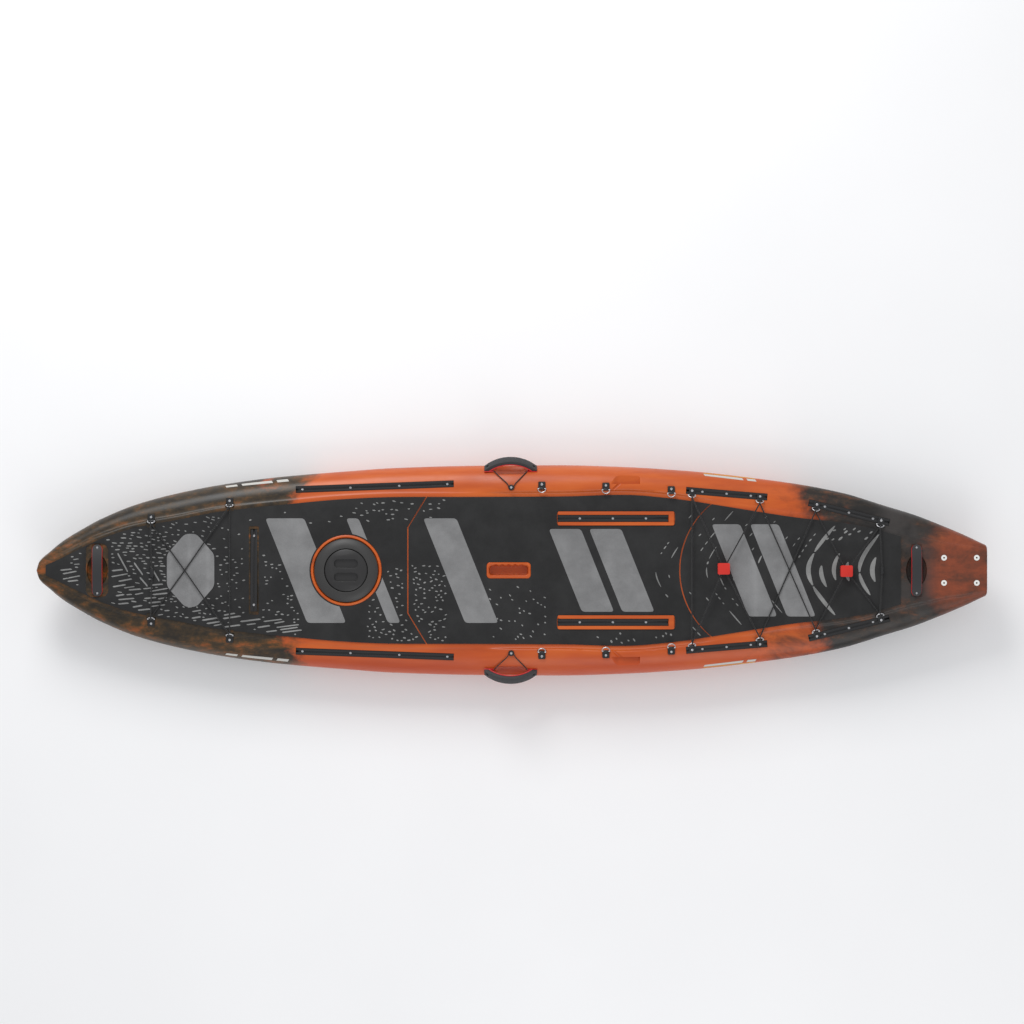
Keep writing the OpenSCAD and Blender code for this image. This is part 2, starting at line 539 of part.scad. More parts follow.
// What lies ahead of a channel: the first bends aft on both sides, the second sweeps aft
module ahead_of_first(gap) {
    x = CHANNEL_1 + gap;
    polygon([[-half_l, -half_b], [x + 150, -half_b], [x + 76, -half_b + 120], [x, -CHANNEL_BEND], [x, CHANNEL_BEND],
        [x + 76, half_b - 120], [x + 150, half_b], [-half_l, half_b]]);
}
module ahead_of_second(gap) {
    difference() {
        translate([-half_l, -half_b]) square([half_l + CHANNEL_2 + 160, hull_beam]);
        translate([CHANNEL_2 + CHANNEL_SWEEP + gap, 0]) circle(CHANNEL_SWEEP, $fn = 96);
        translate([CHANNEL_2 + 160, -CHANNEL_SWEEP]) square([half_l, 2 * CHANNEL_SWEEP]);
    }
}
module pad_cut_outs() {
    translate([hatch_x, 0]) circle(rim_out_r + seat_gap, $fn = 96);
    translate([grip_x, 0]) rounded(GRIP_FRAME_L, GRIP_FRAME_W, 14);
    translate([cross_track_x, 0]) rounded(track_w + 14, cross_track_l + 24, 6);
    for (j = [-1, 1]) translate([deck_track_x + FRAME_W - 3, j * DECK_TRACK[1]])
        rounded(deck_track_l + 2 * FRAME_W, track_w + 2 * FRAME_W, 12);
    for (x = [bow_handle_x, stern_handle_x]) translate([x, 0]) rounded(SCOOP_W + 6, end_handle_l + 8, 30);
    for (j = [-1, 1], u = BOW_ANCHORS) translate([station_x(u), j * (anchor(u, BOW_ANCHOR_IN)[1] - 12)])
        square([BASE_L + 6, 2 * BASE_D], center = true);
}
module pad() {
    color([0.19, 0.19, 0.2]) intersection() {
        rotate([90, 0, 0]) translate([0, 0, -half_b]) linear_extrude(hull_beam)
            polygon(concat([for (x = PAD_BENDS) [x, deck_z(x)]],
                [for (i = [len(PAD_BENDS) - 1:-1:0]) [PAD_BENDS[i], deck_z(PAD_BENDS[i]) + pad_t]]));
        linear_extrude(2 * hull_depth) difference() {
            intersection() {
                pad_outline();
                children();
            }
            pad_cut_outs();
        }
    }
}
module deck_pad_bow() { pad() ahead_of_first(-channel_w / 2); }
module deck_pad_centre() {
    pad() difference() {
        ahead_of_second(-channel_w / 2);
        ahead_of_first(channel_w / 2);
    }
}
module deck_pad_stern() {
    pad() difference() {
        translate([0, -half_b]) square([half_l, hull_beam]);
        ahead_of_second(channel_w / 2);
    }
}

module hatch_tub() {
    color([0.1, 0.1, 0.1]) translate([hatch_x, 0, 0]) union() {
        rotate_extrude($fn = 96) polygon([[0, pocket_z - tub_depth], [tub_r - 8, pocket_z - tub_depth],
            [tub_r, pocket_z - tub_depth + 8], [tub_r, pocket_z], [flange_r, pocket_z],
            [flange_r, pocket_z + FLANGE_T], [tub_r - TUB_WALL, pocket_z + FLANGE_T],
            [tub_r - TUB_WALL, pocket_z - tub_depth + 9], [tub_r - 10, pocket_z - tub_depth + TUB_WALL],
            [0, pocket_z - tub_depth + TUB_WALL]]);
        // two lugs that the latch bar turns under
        for (a = [0, 180]) rotate(a) translate([tub_r - TUB_WALL - 9, -14, bar_z + BAR_T + 0.4]) cube([11, 28, 3]);
    }
}
module hatch_gasket() {
    color([0.13, 0.13, 0.13]) translate([hatch_x, 0, pocket_z + FLANGE_T]) difference() {
        cylinder(r = flange_r - 8, h = GASKET_T, $fn = 96);
        translate([0, 0, -1]) cylinder(r = flange_r - 15, h = GASKET_T + 2, $fn = 96);
    }
}
LID_DOME = 13;
WELL_R_GAP = 1.5;
module hatch_lid() {
    top = lid_z + 7;
    r = lid_d / 2;
    well_r = handle_r + WELL_R_GAP;
    dome_r = ((r - well_r) * (r - well_r) + LID_DOME * LID_DOME) / (2 * LID_DOME);
    color([0.07, 0.07, 0.08]) translate([hatch_x, 0, 0]) rotate_extrude($fn = 96) difference() {
        union() {
            translate([SPINDLE_R + SPINDLE_GAP, lid_z]) square([r - SPINDLE_R - SPINDLE_GAP, 7]);
            translate([r - 4, pocket_z + 1]) square([4, 12]);
            intersection() {
                translate([well_r, top - 1]) square([r - well_r, LID_DOME + 1]);
                translate([well_r, top + LID_DOME - dome_r]) circle(dome_r, $fn = 96);
            }
        }
        translate([0, lid_z + 4]) square([well_r, 30]);
    }
}
RECESS_L = 92; RECESS_W = 34; HANDLE_T = 15;
module hatch_turn_handle() {
    z = lid_z + 4.4;
    color([0.09, 0.09, 0.1]) translate([hatch_x, 0, 0]) difference() {
        union() {
            translate([0, 0, z]) rotate_extrude($fn = 96)
                polygon([[0, 0], [handle_r, 0], [handle_r, HANDLE_T - 4], [handle_r - 5, HANDLE_T - 1], [0, HANDLE_T]]);
            translate([0, 0, bar_z + BAR_T]) cylinder(r = SPINDLE_R, h = z - bar_z - BAR_T);
        }
        // two finger recesses leave a straight bar to turn by
        for (i = [-1, 1]) translate([0, i * (RECESS_W / 2 + 9), z + 4]) linear_extrude(20) rounded(RECESS_L, RECESS_W, 16);
    }
}
module hatch_latch_bar() {
    color([0.12, 0.12, 0.13]) translate([hatch_x, 0, bar_z]) linear_extrude(BAR_T)
        rounded(26, 2 * (tub_r - TUB_WALL - 1.5), 12);
}

module one_track(which, side) { mirror([0, side < 0 ? 1 : 0, 0]) track_places(which) track(length_of(which), screw_list(which)); }
module cross_track_bow() { at(CROSS_TRACK) track(cross_track_l, CROSS_SCREWS); }
module track_screws() {
    both_sides() for (w = ["front", "rear", "stern", "deck"]) track_places(w)
        for (s = screw_list(w)) translate([s * length_of(w), 0, TRACK_FLOOR]) screw();
    at(CROSS_TRACK) for (s = CROSS_SCREWS) translate([s * cross_track_l, 0, TRACK_FLOOR]) screw();
}

module side_handle(side) { mirror([0, side < 0 ? 1 : 0, 0]) at_side_handle() children(); }
module handle_screws() {
    for (p = [BOW_HANDLE, STERN_HANDLE]) at(p) handle_screw_places(end_handle_l) screw(20);
    both_sides() at_side_handle() handle_screw_places(side_handle_l) screw(20);
}

module seat_anchor_bases() { both_sides() for (u = SEAT_ANCHORS) at(anchor(u, SEAT_ANCHOR_IN)) anchor_base(); }
module seat_anchor_screws() { both_sides() for (u = SEAT_ANCHORS) at(anchor(u, SEAT_ANCHOR_IN)) anchor_screw(); }
module d_ring(i, side) { mirror([0, side < 0 ? 1 : 0, 0]) at(anchor(SEAT_ANCHORS[i], SEAT_ANCHOR_IN)) anchor_ring(FREE_TILT); }
module bow_anchor_bases() { both_sides() for (u = BOW_ANCHORS) at(anchor(u, BOW_ANCHOR_IN)) anchor_base(); }
module bow_anchor_rings() { both_sides() for (u = BOW_ANCHORS) at(anchor(u, BOW_ANCHOR_IN)) anchor_ring(BOW_TILT); }
module bow_anchor_screws() { both_sides() for (u = BOW_ANCHORS) at(anchor(u, BOW_ANCHOR_IN)) anchor_screw(); }

// Eyelets are clamped on the tracks by a bolt whose head is a nut plate in the chamber
module eyelet_places() {
    both_sides() for (e = EYELETS) track_places(e[1]) translate([e[0] * length_of(e[1]), -HOLE_Y, track_h]) children();
}
module track_eyelets() { eyelet_places() anchor_base(EYELET_W); }
module track_eyelet_rings() { eyelet_places() anchor_ring(EYELET_TILT); }
module track_eyelet_bolts() {
    low = TRACK_FLOOR + 0.3 - track_h;
    color("silver") eyelet_places() translate([0, HOLE_Y, 0]) union() {
        translate([0, 0, low]) cylinder(d = screw_d, h = BASE_T - low + 1);
        translate([0, 0, low]) bar(13, chamber_w - 1, track_h - TRACK_FLOOR - TRACK_LIP - 0.6);
        translate([0, 0, BASE_T]) cylinder(r = HEAD_R, h = 3, $fn = 24);
    }
}

// ---- Cords ----
// A cord's points are its centre line from end to end
// The bow cord leaves its lock, goes round four rings and crosses itself once
BOW_ROUTE = [[-1388, 7, 220], [-1392, 182, 225], [-1392, 188, 222], [-1392, 188, 217], [-1392, 182, 213],
    [-1380, 164, 216], [-1262, 0, 217], [-1091, -246, 213], [-1091, -252, 210], [-1091, -252, 205],
    [-1091, -246, 202], [-1090, -226, 203], [-1090, 226, 203], [-1091, 246, 202], [-1091, 252, 205],
    [-1091, 252, 210], [-1091, 246, 213], [-1262, 0, 211], [-1380, -164, 216], [-1392, -182, 213],
    [-1392, -188, 217], [-1392, -188, 222], [-1392, -182, 225], [-1388, -27, 220]];
// The stern cord runs from hook to hook round eight rings and through both hubs
STERN_ROUTE = [[1424, 14, 235], [1416, 167, 237], [1418, 172, 234], [1418, 172, 228], [1416, 167, 225],
    [1287, -3, 239], [1170, -229, 209], [1172, -234, 211], [1172, -234, 217], [1170, -229, 220],
    [1070, 0, 215], [956, 260, 204], [957, 265, 207], [957, 265, 213], [956, 260, 216],
    [816, 6, 221], [694, -281, 225], [694, -287, 222], [694, -287, 217], [694, -281, 214],
    [694, 281, 214], [694, 287, 217], [694, 287, 222], [694, 281, 225],
    [816, 6, 215], [956, -260, 216], [957, -265, 213], [957, -265, 207], [956, -260, 204],
    [1070, 0, 209], [1170, 229, 220], [1172, 234, 217], [1172, 234, 211], [1170, 229, 209],
    [1287, -3, 233], [1416, -167, 225], [1418, -172, 228], [1418, -172, 234], [1416, -167, 237],
    [1424, -14, 235]];
// A paddle keeper goes from one foot of a side handle round its button to the other foot
KEEPER_ROUTE = [[-70, 384, 174], [-56, 370, 184], [-37, 352, 194], [-19, 336, 200], [-12, 322, 202],
    [-10, 314, 202], [-3, 311, 202], [4, 314, 202], [6, 322, 202], [13, 336, 200], [29, 352, 194],
    [46, 370, 184], [59, 384, 174]];
function unit(v) = v / norm(v);
// ref is a direction that the cord never runs along
module tube(points, d, ref = [1, 0, 0], sides = 8) {
    n = len(points);
    dirs = [for (i = [0:n - 1]) unit(i == 0 ? points[1] - points[0] : i == n - 1 ? points[i] - points[i - 1] :
        unit(points[i] - points[i - 1]) + unit(points[i + 1] - points[i]))];
    loft([for (i = [0:n - 1]) let (t = dirs[i], a = unit(cross(t, ref)), b = cross(t, a))
        [for (k = [0:sides - 1]) points[i] + d / 2 * (a * cos(k * 360 / sides) + b * sin(k * 360 / sides))]]);
}
module bow_bungee() { color([0.05, 0.05, 0.05]) tube(BOW_ROUTE, bungee_d); }
module stern_bungee() { color([0.05, 0.05, 0.05]) tube(STERN_ROUTE, bungee_d); }
module paddle_bungee(side) { mirror([0, side < 0 ? 1 : 0, 0]) color([0.05, 0.05, 0.05]) tube(KEEPER_ROUTE, keeper_d, [0, 0, 1]); }
module paddle_bungee_buttons() {
    color([0.08, 0.08, 0.08]) both_sides() at(button_place()) difference() {
        union() {
            cylinder(r = BUTTON_R, h = 3.4);
            cylinder(r = BUTTON_R - 5, h = BUTTON_H);
            translate([0, 0, BUTTON_H - 2.5]) cylinder(r = BUTTON_R, h = 2.5);
        }
        translate([0, 0, -1]) cylinder(r = screw_d / 2 + fit_gap, h = BUTTON_H + 2);
    }
}
module button_screws() { both_sides() at(button_place()) translate([0, 0, BUTTON_H]) screw(BUTTON_H + 8); }

// ---- Stern mount, drain and inner foam ----
module mount_inserts() {
    color("goldenrod") mount_places() difference() {
        translate([0, 0, -insert_l]) cylinder(r = INSERT_R, h = insert_l);
        translate([0, 0, -insert_l - 1]) cylinder(d = insert_bore_d, h = insert_l + 2);
    }
}
module mount_washers() {
    color("white") mount_places() difference() {
        cylinder(r = WASHER_R, h = WASHER_T);
        translate([0, 0, -1]) cylinder(d = insert_bore_d + 0.6, h = WASHER_T + 2);
    }
}
module drain_socket() {
    color([0.1, 0.1, 0.1]) at_drain() difference() {
        union() {
            cylinder(r = drain_r + 8, h = 2);
            translate([0, 0, -22]) cylinder(r = drain_r + 2.5, h = 23);
        }
        translate([0, 0, -23]) cylinder(r = drain_r + fit_gap, h = 26);
    }
}
module drain_seal() {
    color([0.15, 0.15, 0.15]) at_drain() translate([0, 0, 2]) difference() {
        cylinder(r = drain_r + 3.5, h = 1.5);
        translate([0, 0, -1]) cylinder(r = drain_r, h = 4);
    }
}
module drain_plug() {
    color([0.12, 0.12, 0.12]) at_drain() difference() {
        union() {
            translate([0, 0, -20]) cylinder(r = drain_r, h = 24);
            translate([0, 0, 3.5]) cylinder(r = drain_r + 6, h = DRAIN_POCKET - 4);
        }
        translate([0, 0, DRAIN_POCKET - 5]) bar(2 * drain_r, 5, 8);
    }
}
// Upright blocks between the bottom and the deck stiffen the hollow hull and float it
FOAM_W = 60; FOAM_RISE = 6;
module foam_block(first, last) {
    color("white") rotate([90, 0, 0]) translate([0, 0, -FOAM_W / 2]) linear_extrude(FOAM_W)
        polygon([for (i = [first, last]) let (u = station(i)) [station_x(u), bottom_z(u) + hull_wall + FOAM_RISE],
            for (i = [last:-1:first]) let (u = station(i)) [station_x(u), height(DECK_Z, u) - hull_wall]]);
}
module foam_block_fore() { foam_block(-15, -12); }
module foam_block_aft() { foam_block(9, 12); }

HUB_L = 46; HUB_W = 44; HUB_H = 24;
module hub(p) {
    color([0.9, 0.15, 0.08]) difference() {
        translate(p) linear_extrude(HUB_H) rounded(HUB_L, HUB_W, 6);
        tube(STERN_ROUTE, bungee_d + 2 * fit_gap);
    }
}
module bungee_hub_front() { hub([816, 6, 206]); }
module bungee_hub_rear() { hub([1287, -3, 224]); }
// The lock grips both ends of the bow cord, and the two hooks link the ends of the stern cord
module bow_bungee_lock() {
    color([0.08, 0.08, 0.08]) translate([BOW_ROUTE[0][0], -10, BOW_ROUTE[0][2] - 6]) linear_extrude(12) rounded(15, 33.2, 5);
}
module bungee_hooks() {
    color([0.08, 0.08, 0.08]) for (j = [-1, 1]) translate([STERN_ROUTE[0][0], j * 6.8, STERN_ROUTE[0][2] - 5])
        linear_extrude(10) rounded(11, 13.4, 4);
}

hull();
deck_pad_bow();
deck_pad_centre();
deck_pad_stern();
hatch_tub();
hatch_gasket();
hatch_lid();
hatch_turn_handle();
hatch_latch_bar();
one_track("front", -1);  // front_track_port
one_track("front", 1);  // front_track_starboard
cross_track_bow();
one_track("deck", -1);  // deck_track_port
one_track("deck", 1);  // deck_track_starboard
one_track("rear", -1);  // rear_track_port
one_track("rear", 1);  // rear_track_starboard
one_track("stern", -1);  // stern_track_port
one_track("stern", 1);  // stern_track_starboard
track_screws();
at(BOW_HANDLE) handle_grip(end_handle_l, end_handle_rise);  // bow_handle_grip
at(BOW_HANDLE) handle_liner(end_handle_l, end_handle_rise);  // bow_handle_liner
at(STERN_HANDLE) handle_grip(end_handle_l, end_handle_rise);  // stern_handle_grip
at(STERN_HANDLE) handle_liner(end_handle_l, end_handle_rise);  // stern_handle_liner
side_handle(-1) handle_grip(side_handle_l, side_handle_rise);  // port_handle_grip
side_handle(-1) handle_liner(side_handle_l, side_handle_rise);  // port_handle_liner
side_handle(1) handle_grip(side_handle_l, side_handle_rise);  // starboard_handle_grip
side_handle(1) handle_liner(side_handle_l, side_handle_rise);  // starboard_handle_liner
handle_screws();
seat_anchor_bases();
seat_anchor_screws();
d_ring(0, -1);  // d_ring_fore_port
d_ring(0, 1);  // d_ring_fore_starboard
d_ring(1, -1);  // d_ring_mid_port
d_ring(1, 1);  // d_ring_mid_starboard
d_ring(2, -1);  // d_ring_aft_port
d_ring(2, 1);  // d_ring_aft_starboard
bow_anchor_bases();
bow_anchor_rings();
bow_anchor_screws();
track_eyelets();
track_eyelet_rings();
track_eyelet_bolts();
bow_bungee();
bow_bungee_lock();
stern_bungee();
bungee_hub_front();
bungee_hub_rear();
bungee_hooks();
paddle_bungee(-1);  // paddle_bungee_port
paddle_bungee(1);  // paddle_bungee_starboard
paddle_bungee_buttons();
button_screws();
mount_inserts();
mount_washers();
drain_socket();
drain_plug();
drain_seal();
foam_block_fore();
foam_block_aft();
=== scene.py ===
import math
import random

import bmesh
import bpy
import numpy as np
from mathutils import Matrix, Vector
from mathutils.geometry import delaunay_2d_cdt


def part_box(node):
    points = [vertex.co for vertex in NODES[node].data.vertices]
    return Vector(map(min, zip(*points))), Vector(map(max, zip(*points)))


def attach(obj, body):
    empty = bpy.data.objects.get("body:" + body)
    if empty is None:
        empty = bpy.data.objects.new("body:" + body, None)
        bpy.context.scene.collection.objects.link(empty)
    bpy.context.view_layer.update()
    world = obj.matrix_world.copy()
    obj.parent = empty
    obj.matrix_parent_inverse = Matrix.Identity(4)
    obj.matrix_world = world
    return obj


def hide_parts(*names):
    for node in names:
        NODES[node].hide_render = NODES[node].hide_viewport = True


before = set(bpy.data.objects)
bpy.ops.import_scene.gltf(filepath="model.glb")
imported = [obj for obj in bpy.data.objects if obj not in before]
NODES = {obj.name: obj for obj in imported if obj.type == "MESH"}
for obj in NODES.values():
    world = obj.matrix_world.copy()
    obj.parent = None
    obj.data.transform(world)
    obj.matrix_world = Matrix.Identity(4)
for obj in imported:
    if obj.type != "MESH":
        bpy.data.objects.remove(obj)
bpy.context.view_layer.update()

MM = 0.001

# ---- Lines of the hull, in millimetres, as the CAD source has them ----
HALF_L, HALF_B, DEPTH = 1830, 410, 240
BEAM, KEEL, CHINE_Z, WIDE_Z, CHINE_Y, DECK_Y, DECK_Z, SIDE_Z = range(1, 9)
LINES = [
    [-100, 2, 81.5, 84, 89, 50, 40, 98.5, 97], [-99.5, 8.8, 74, 80, 86, 50, 42, 98.8, 96.5],
    [-97.5, 17.6, 61.5, 72, 79, 50, 48, 99.2, 96], [-95, 27.3, 49.5, 63, 73.5, 50, 52, 99, 95.5],
    [-91, 38.8, 35, 52, 66.5, 52, 60, 96, 92], [-87, 48.8, 26, 43, 61, 55, 66, 93.5, 89],
    [-80, 62, 16, 31.5, 54, 60, 69, 88.5, 84.5], [-72, 72.2, 10, 23.5, 47, 65, 69, 85.8, 82.5],
    [-62, 81.2, 7, 17.5, 43.3, 70, 72, 82.5, 80], [-50, 88.5, 6, 12.5, 41.2, 75, 73, 78.3, 76.6],
    [-35, 94.2, 2.5, 8, 40, 79, 75, 78.3, 76.6], [-25, 97.3, 0, 6.2, 40, 80, 74.5, 78.3, 76.6],
    [-8, 99.5, 0, 5.4, 40, 80, 73, 78.3, 77.5], [0, 99.8, 0, 5.4, 40, 80, 73, 78.3, 83],
    [10, 100, 0, 5.8, 40, 80, 73, 78.3, 83.5], [25, 98, 0, 10, 42.5, 80, 76, 79, 84.5],
    [35, 95.2, 0, 14, 45.5, 80, 74, 79.6, 84.5], [40, 93.4, 0, 16.2, 47.5, 80, 72, 80.6, 83],
    [50, 88.3, 0, 23, 52, 79, 68, 81.7, 80.6], [62, 80.7, 0, 31, 59, 77, 64.5, 84.5, 82],
    [70.7, 72.6, 1.5, 37, 63, 76, 65.5, 87.3, 84.5], [74.3, 67.8, 8, 41, 65, 75, 65.5, 89.3, 86.5],
    [78, 62.4, 13, 45, 66, 74, 64.5, 91.5, 88.5], [85, 52.7, 30, 53.5, 68.5, 72, 60, 95.4, 92],
    [90, 44, 43.5, 60.5, 71.5, 70, 60, 96.7, 93], [96, 32.4, 64.5, 70, 77.5, 70, 68, 97, 94],
    [99, 25.8, 75, 76, 81.5, 72, 76, 97, 95], [100, 23.7, 77, 78.5, 83.5, 74, 80, 97, 95.5]]
STATION_STEP = 3
RUNNER_END = 100 * math.sin(math.radians(15 * STATION_STEP))
RUNNER_OUT = 100 * math.sin(math.radians(16 * STATION_STEP))
EDGE_W, SHOULDER_ROUND, END_ROUND = 6, 2.2, 7.0


def clamp(t):
    return max(0.0, min(1.0, t))


def mix(a, b, t):
    return a + (b - a) * t


def secant(i, c):
    return (LINES[i + 1][c] - LINES[i][c]) / (LINES[i + 1][0] - LINES[i][0])


def slope(i, c):
    if i == 0:
        return secant(0, c)
    if i == len(LINES) - 1:
        return secant(i - 1, c)
    m, n = secant(i - 1, c), secant(i, c)
    return 0 if m * n <= 0 else 2 * m * n / (m + n)


def share(c, u):
    """Column c of the lines at station u, in percent."""
    i = 0
    while i + 2 < len(LINES) and LINES[i + 1][0] <= u:
        i += 1
    a, b = LINES[i], LINES[i + 1]
    h = b[0] - a[0]
    t = (u - a[0]) / h
    return ((2 * t**3 - 3 * t * t + 1) * a[c] + (t**3 - 2 * t * t + t) * h * slope(i, c)
            + (3 * t * t - 2 * t**3) * b[c] + (t**3 - t * t) * h * slope(i + 1, c))


def half_beam(u):
    return share(BEAM, u) / 100 * HALF_B


def height(c, u):
    return share(c, u) / 100 * DEPTH


def deck_half(u):
    return half_beam(u) * share(DECK_Y, u) / 100


def deck_z(x):
    """Height of the flat deck, which runs straight between the CAD stations."""
    i = min(math.floor(math.degrees(math.asin(max(-1, min(1, x / HALF_L)))) / STATION_STEP + 1e-9), 29)
    a = 100 * math.sin(math.radians(STATION_STEP * i))
    b = 100 * math.sin(math.radians(STATION_STEP * (i + 1)))
    return mix(height(DECK_Z, a), height(DECK_Z, b), (x / HALF_L * 100 - a) / (b - a))


def section(u):
    """Half of a cross section from the keel out and up to the deck's edge."""
    b = half_beam(u)
    k, r, h = min(12, 0.06 * b), 0.37 * b, min(16, 0.08 * b)
    cy, cz, wz, side = b * share(CHINE_Y, u) / 100, height(CHINE_Z, u), height(WIDE_Z, u), height(SIDE_Z, u)
    out = clamp((u - RUNNER_END) / (RUNNER_OUT - RUNNER_END))
    bottom = height(KEEL, u) + 8 * b / HALF_B
    side_bottom = mix(bottom, cz, 0.3 + 0.65 * out)
    runner = side_bottom * (1 - clamp((u + 55) / 25) * (1 - out))
    a = deck_half(u) + min(EDGE_W, (b - deck_half(u)) / 4)
    points = [(k, height(KEEL, u)), (1.4 * k, bottom), (r - h, side_bottom), (r - 0.6 * h, runner),
              (r + 0.6 * h, runner), (r + h, side_bottom), (cy, cz), (mix(cy, b, 0.62), mix(cz, wz, 0.42)),
              (b, wz)]
    for t in (80, 66, 50, 34, 17, 0):
        s = math.sin(math.radians(t)) ** (2 / SHOULDER_ROUND)
        c = math.cos(math.radians(t)) ** (2 / SHOULDER_ROUND)
        points.append((a + (b - a) * s, wz + (side - wz) * c))
    points.append((deck_half(u), height(DECK_Z, u)))
    return points


def round_corners(points, reach, closed, bends=3):
    """The line through points with each corner replaced by a short curve that starts reach before it."""
    n, made = len(points), []
    points = [Vector(p) for p in points]
    for i, p in enumerate(points):
        if not closed and i in (0, n - 1):
            made.append(p)
            continue
        before, after = points[i - 1] - p, points[(i + 1) % n] - p
        start = p + before * min(0.42, reach / max(before.length, 1e-9))
        end = p + after * min(0.42, reach / max(after.length, 1e-9))
        for k in range(bends + 1):
            t = k / bends
            made.append(start * (1 - t) ** 2 + p * 2 * t * (1 - t) + end * t * t)
    return made


# ---- Mesh helpers ----
def new_piece(name, verts, faces, scale=MM):
    mesh = bpy.data.meshes.new(name)
    mesh.from_pydata([[c * scale for c in v] for v in verts], [], faces)
    mesh.update()
    obj = bpy.data.objects.new(name, mesh)
    bpy.context.scene.collection.objects.link(obj)
    return obj


def loft(rings, cap=True):
    """Vertices and faces of a skin over rings of equally many points."""
    n, m = len(rings[0]), len(rings)
    verts = [tuple(p) for r in rings for p in r]
    faces = [(j * n + i, j * n + (i + 1) % n, (j + 1) * n + (i + 1) % n, (j + 1) * n + i)
             for j in range(m - 1) for i in range(n)]
    if cap:
        faces += [tuple(reversed(range(n))), tuple((m - 1) * n + i for i in range(n))]
    return verts, faces


def face_outwards(obj):
    bm = bmesh.new()
    bm.from_mesh(obj.data)
    bmesh.ops.recalc_face_normals(bm, faces=bm.faces)
    bm.to_mesh(obj.data)
    bm.free()


def smooth(obj, angle):
    for p in obj.data.polygons:
        p.use_smooth = True
    obj.data.set_sharp_from_angle(angle=math.radians(angle))


def combine(obj, tool, how):
    """Cuts tool out of obj, or adds it, and removes tool."""
    face_outwards(tool)
    m = obj.modifiers.new("cut", "BOOLEAN")
    m.operation, m.solver, m.object = how, "MANIFOLD", tool
    depsgraph = bpy.context.evaluated_depsgraph_get()
    made = bpy.data.meshes.new_from_object(obj.evaluated_get(depsgraph))
    if len(made.polygons) < 0.6 * len(obj.data.polygons):
        m.solver = "EXACT"
        depsgraph = bpy.context.evaluated_depsgraph_get()
        made = bpy.data.meshes.new_from_object(obj.evaluated_get(depsgraph))
    obj.modifiers.clear()
    obj.data = made
    bpy.data.objects.remove(tool)


def place(x, y, z, tilt=0.0, yaw=0.0):
    """A frame on the deck: tilt about Y and yaw about Z, in degrees, in the order of the CAD source."""
    turned = Matrix.Rotation(math.radians(yaw), 4, "Z")
    return Matrix.Translation((x, y, z)) @ turned @ Matrix.Rotation(math.radians(tilt), 4, "Y")


def rounded_outline(length, width, r, steps=6):
    pts = []
    for cx, cy, start in ((1, 1, 0), (-1, 1, 90), (-1, -1, 180), (1, -1, 270)):
        for k in range(steps + 1):
            a = math.radians(start + 90 * k / steps)
            pts.append((cx * (length / 2 - r) + r * math.cos(a), cy * (width / 2 - r) + r * math.sin(a)))
    return pts


def pocket(name, matrix, length, width, r, depth, lip, rise=40, floor_r=3):
    """A cutter whose walls flare out at the surface, z = 0 of its frame, by the lip's radius."""
    levels = [(-depth, -floor_r), (-depth + 0.3 * floor_r, -0.3 * floor_r), (-depth + floor_r, 0)]
    if lip:
        levels += [(-lip, 0), (-0.62 * lip, 0.08 * lip), (-0.3 * lip, 0.29 * lip), (-0.08 * lip, 0.62 * lip),
                   (0.12, 1.15 * lip)]
    levels.append((rise, 1.15 * lip))
    rings = [[matrix @ Vector((x, y, z))
              for x, y in rounded_outline(length + 2 * g, width + 2 * g, max(0.5, r + g))]
             for z, g in levels]
    return new_piece(name, *loft(rings))


def lathe(name, profile, centre, axis=Matrix.Identity(4), sides=96, close=False):
    """Turns a line of (radius, height) points; the ends are capped at the axis or joined to each other."""
    rings = [[axis @ Vector((r * math.cos(a), r * math.sin(a), z)) + Vector(centre)
              for a in (2 * math.pi * k / sides for k in range(sides))] for r, z in profile]
    verts, faces = loft(rings, cap=not close)
    if close:
        n, m = sides, len(rings)
        faces += [((m - 1) * n + i, (m - 1) * n + (i + 1) % n, (i + 1) % n, i) for i in range(n)]
    return new_piece(name, verts, faces)


def block(name, matrix, outline, low, high, edge=1.5):
    """A closed solid over an outline of its frame, with a rounded top edge."""
    def ring(z, g):
        c = sum((Vector(p) for p in outline), Vector((0, 0))) / len(outline)
        return [matrix @ Vector((*(c + (Vector(p) - c) * (1 - g / max((Vector(p) - c).length, 1))), z))
                for p in outline]
    rings = [ring(low, 0), ring(high - edge, 0), ring(high - 0.3 * edge, 0.3 * edge), ring(high, edge)]
    return new_piece(name, *loft(rings))


# ---- Places of the fittings, from the CAD source ----
DECK_FRAMES = {"front": place(-530.7, 323.722, 168.597, -0.378461, 2.1),
               "rear": place(828.99, 296.078, 185.099, 2.04535, -4.7),
               "stern": place(1301.13, 222.79, 193.088, -3.70805, -14.2),
               "deck": place(389.79, 200.649, 183.073, -0.377433),
               "cross": place(-997.35, 0, 184.255, 2.51404, 90)}
TRACK_L = {"front": 610, "rear": 314, "stern": 318, "deck": 426, "cross": 318}
TRACK_W, TRACK_H = 25, 10
MIRROR = Matrix.Scale(-1, 4, (0, 1, 0))
BOW_HANDLE = place(-1597.59, 0, 223.802, 4.92181)
STERN_HANDLE = place(1557.33, 0, 227.937, -2.78668)
SIDE_HANDLE = (Matrix.Translation((-5.49, 394.148, 154.629)) @ Matrix.Rotation(math.radians(35 - 90), 4, "X")
               @ Matrix.Translation((0, 0, -3)) @ Matrix.Rotation(math.pi / 2, 4, "Z"))
SEAT_ANCHORS = [(115.29, 329.84, 194.06), (362.34, 325.72, 198.33), (614.88, 312.14, 199.16)]
BOW_ANCHORS = [(-1392.63, 203.5, 197.79), (-1090.68, 266.87, 186.08)]
BUTTON = (-2.93, 320.16, 196.13)
HATCH_X, HATCH_DECK = -640.5, 187.92
RIM_IN, RIM_OUT, RIM_H, TUB_HOLE, TUB_FLOOR = 126, 137, 8, 99, 72
GRIP_X, GRIP_DECK = -12.81, 187.92
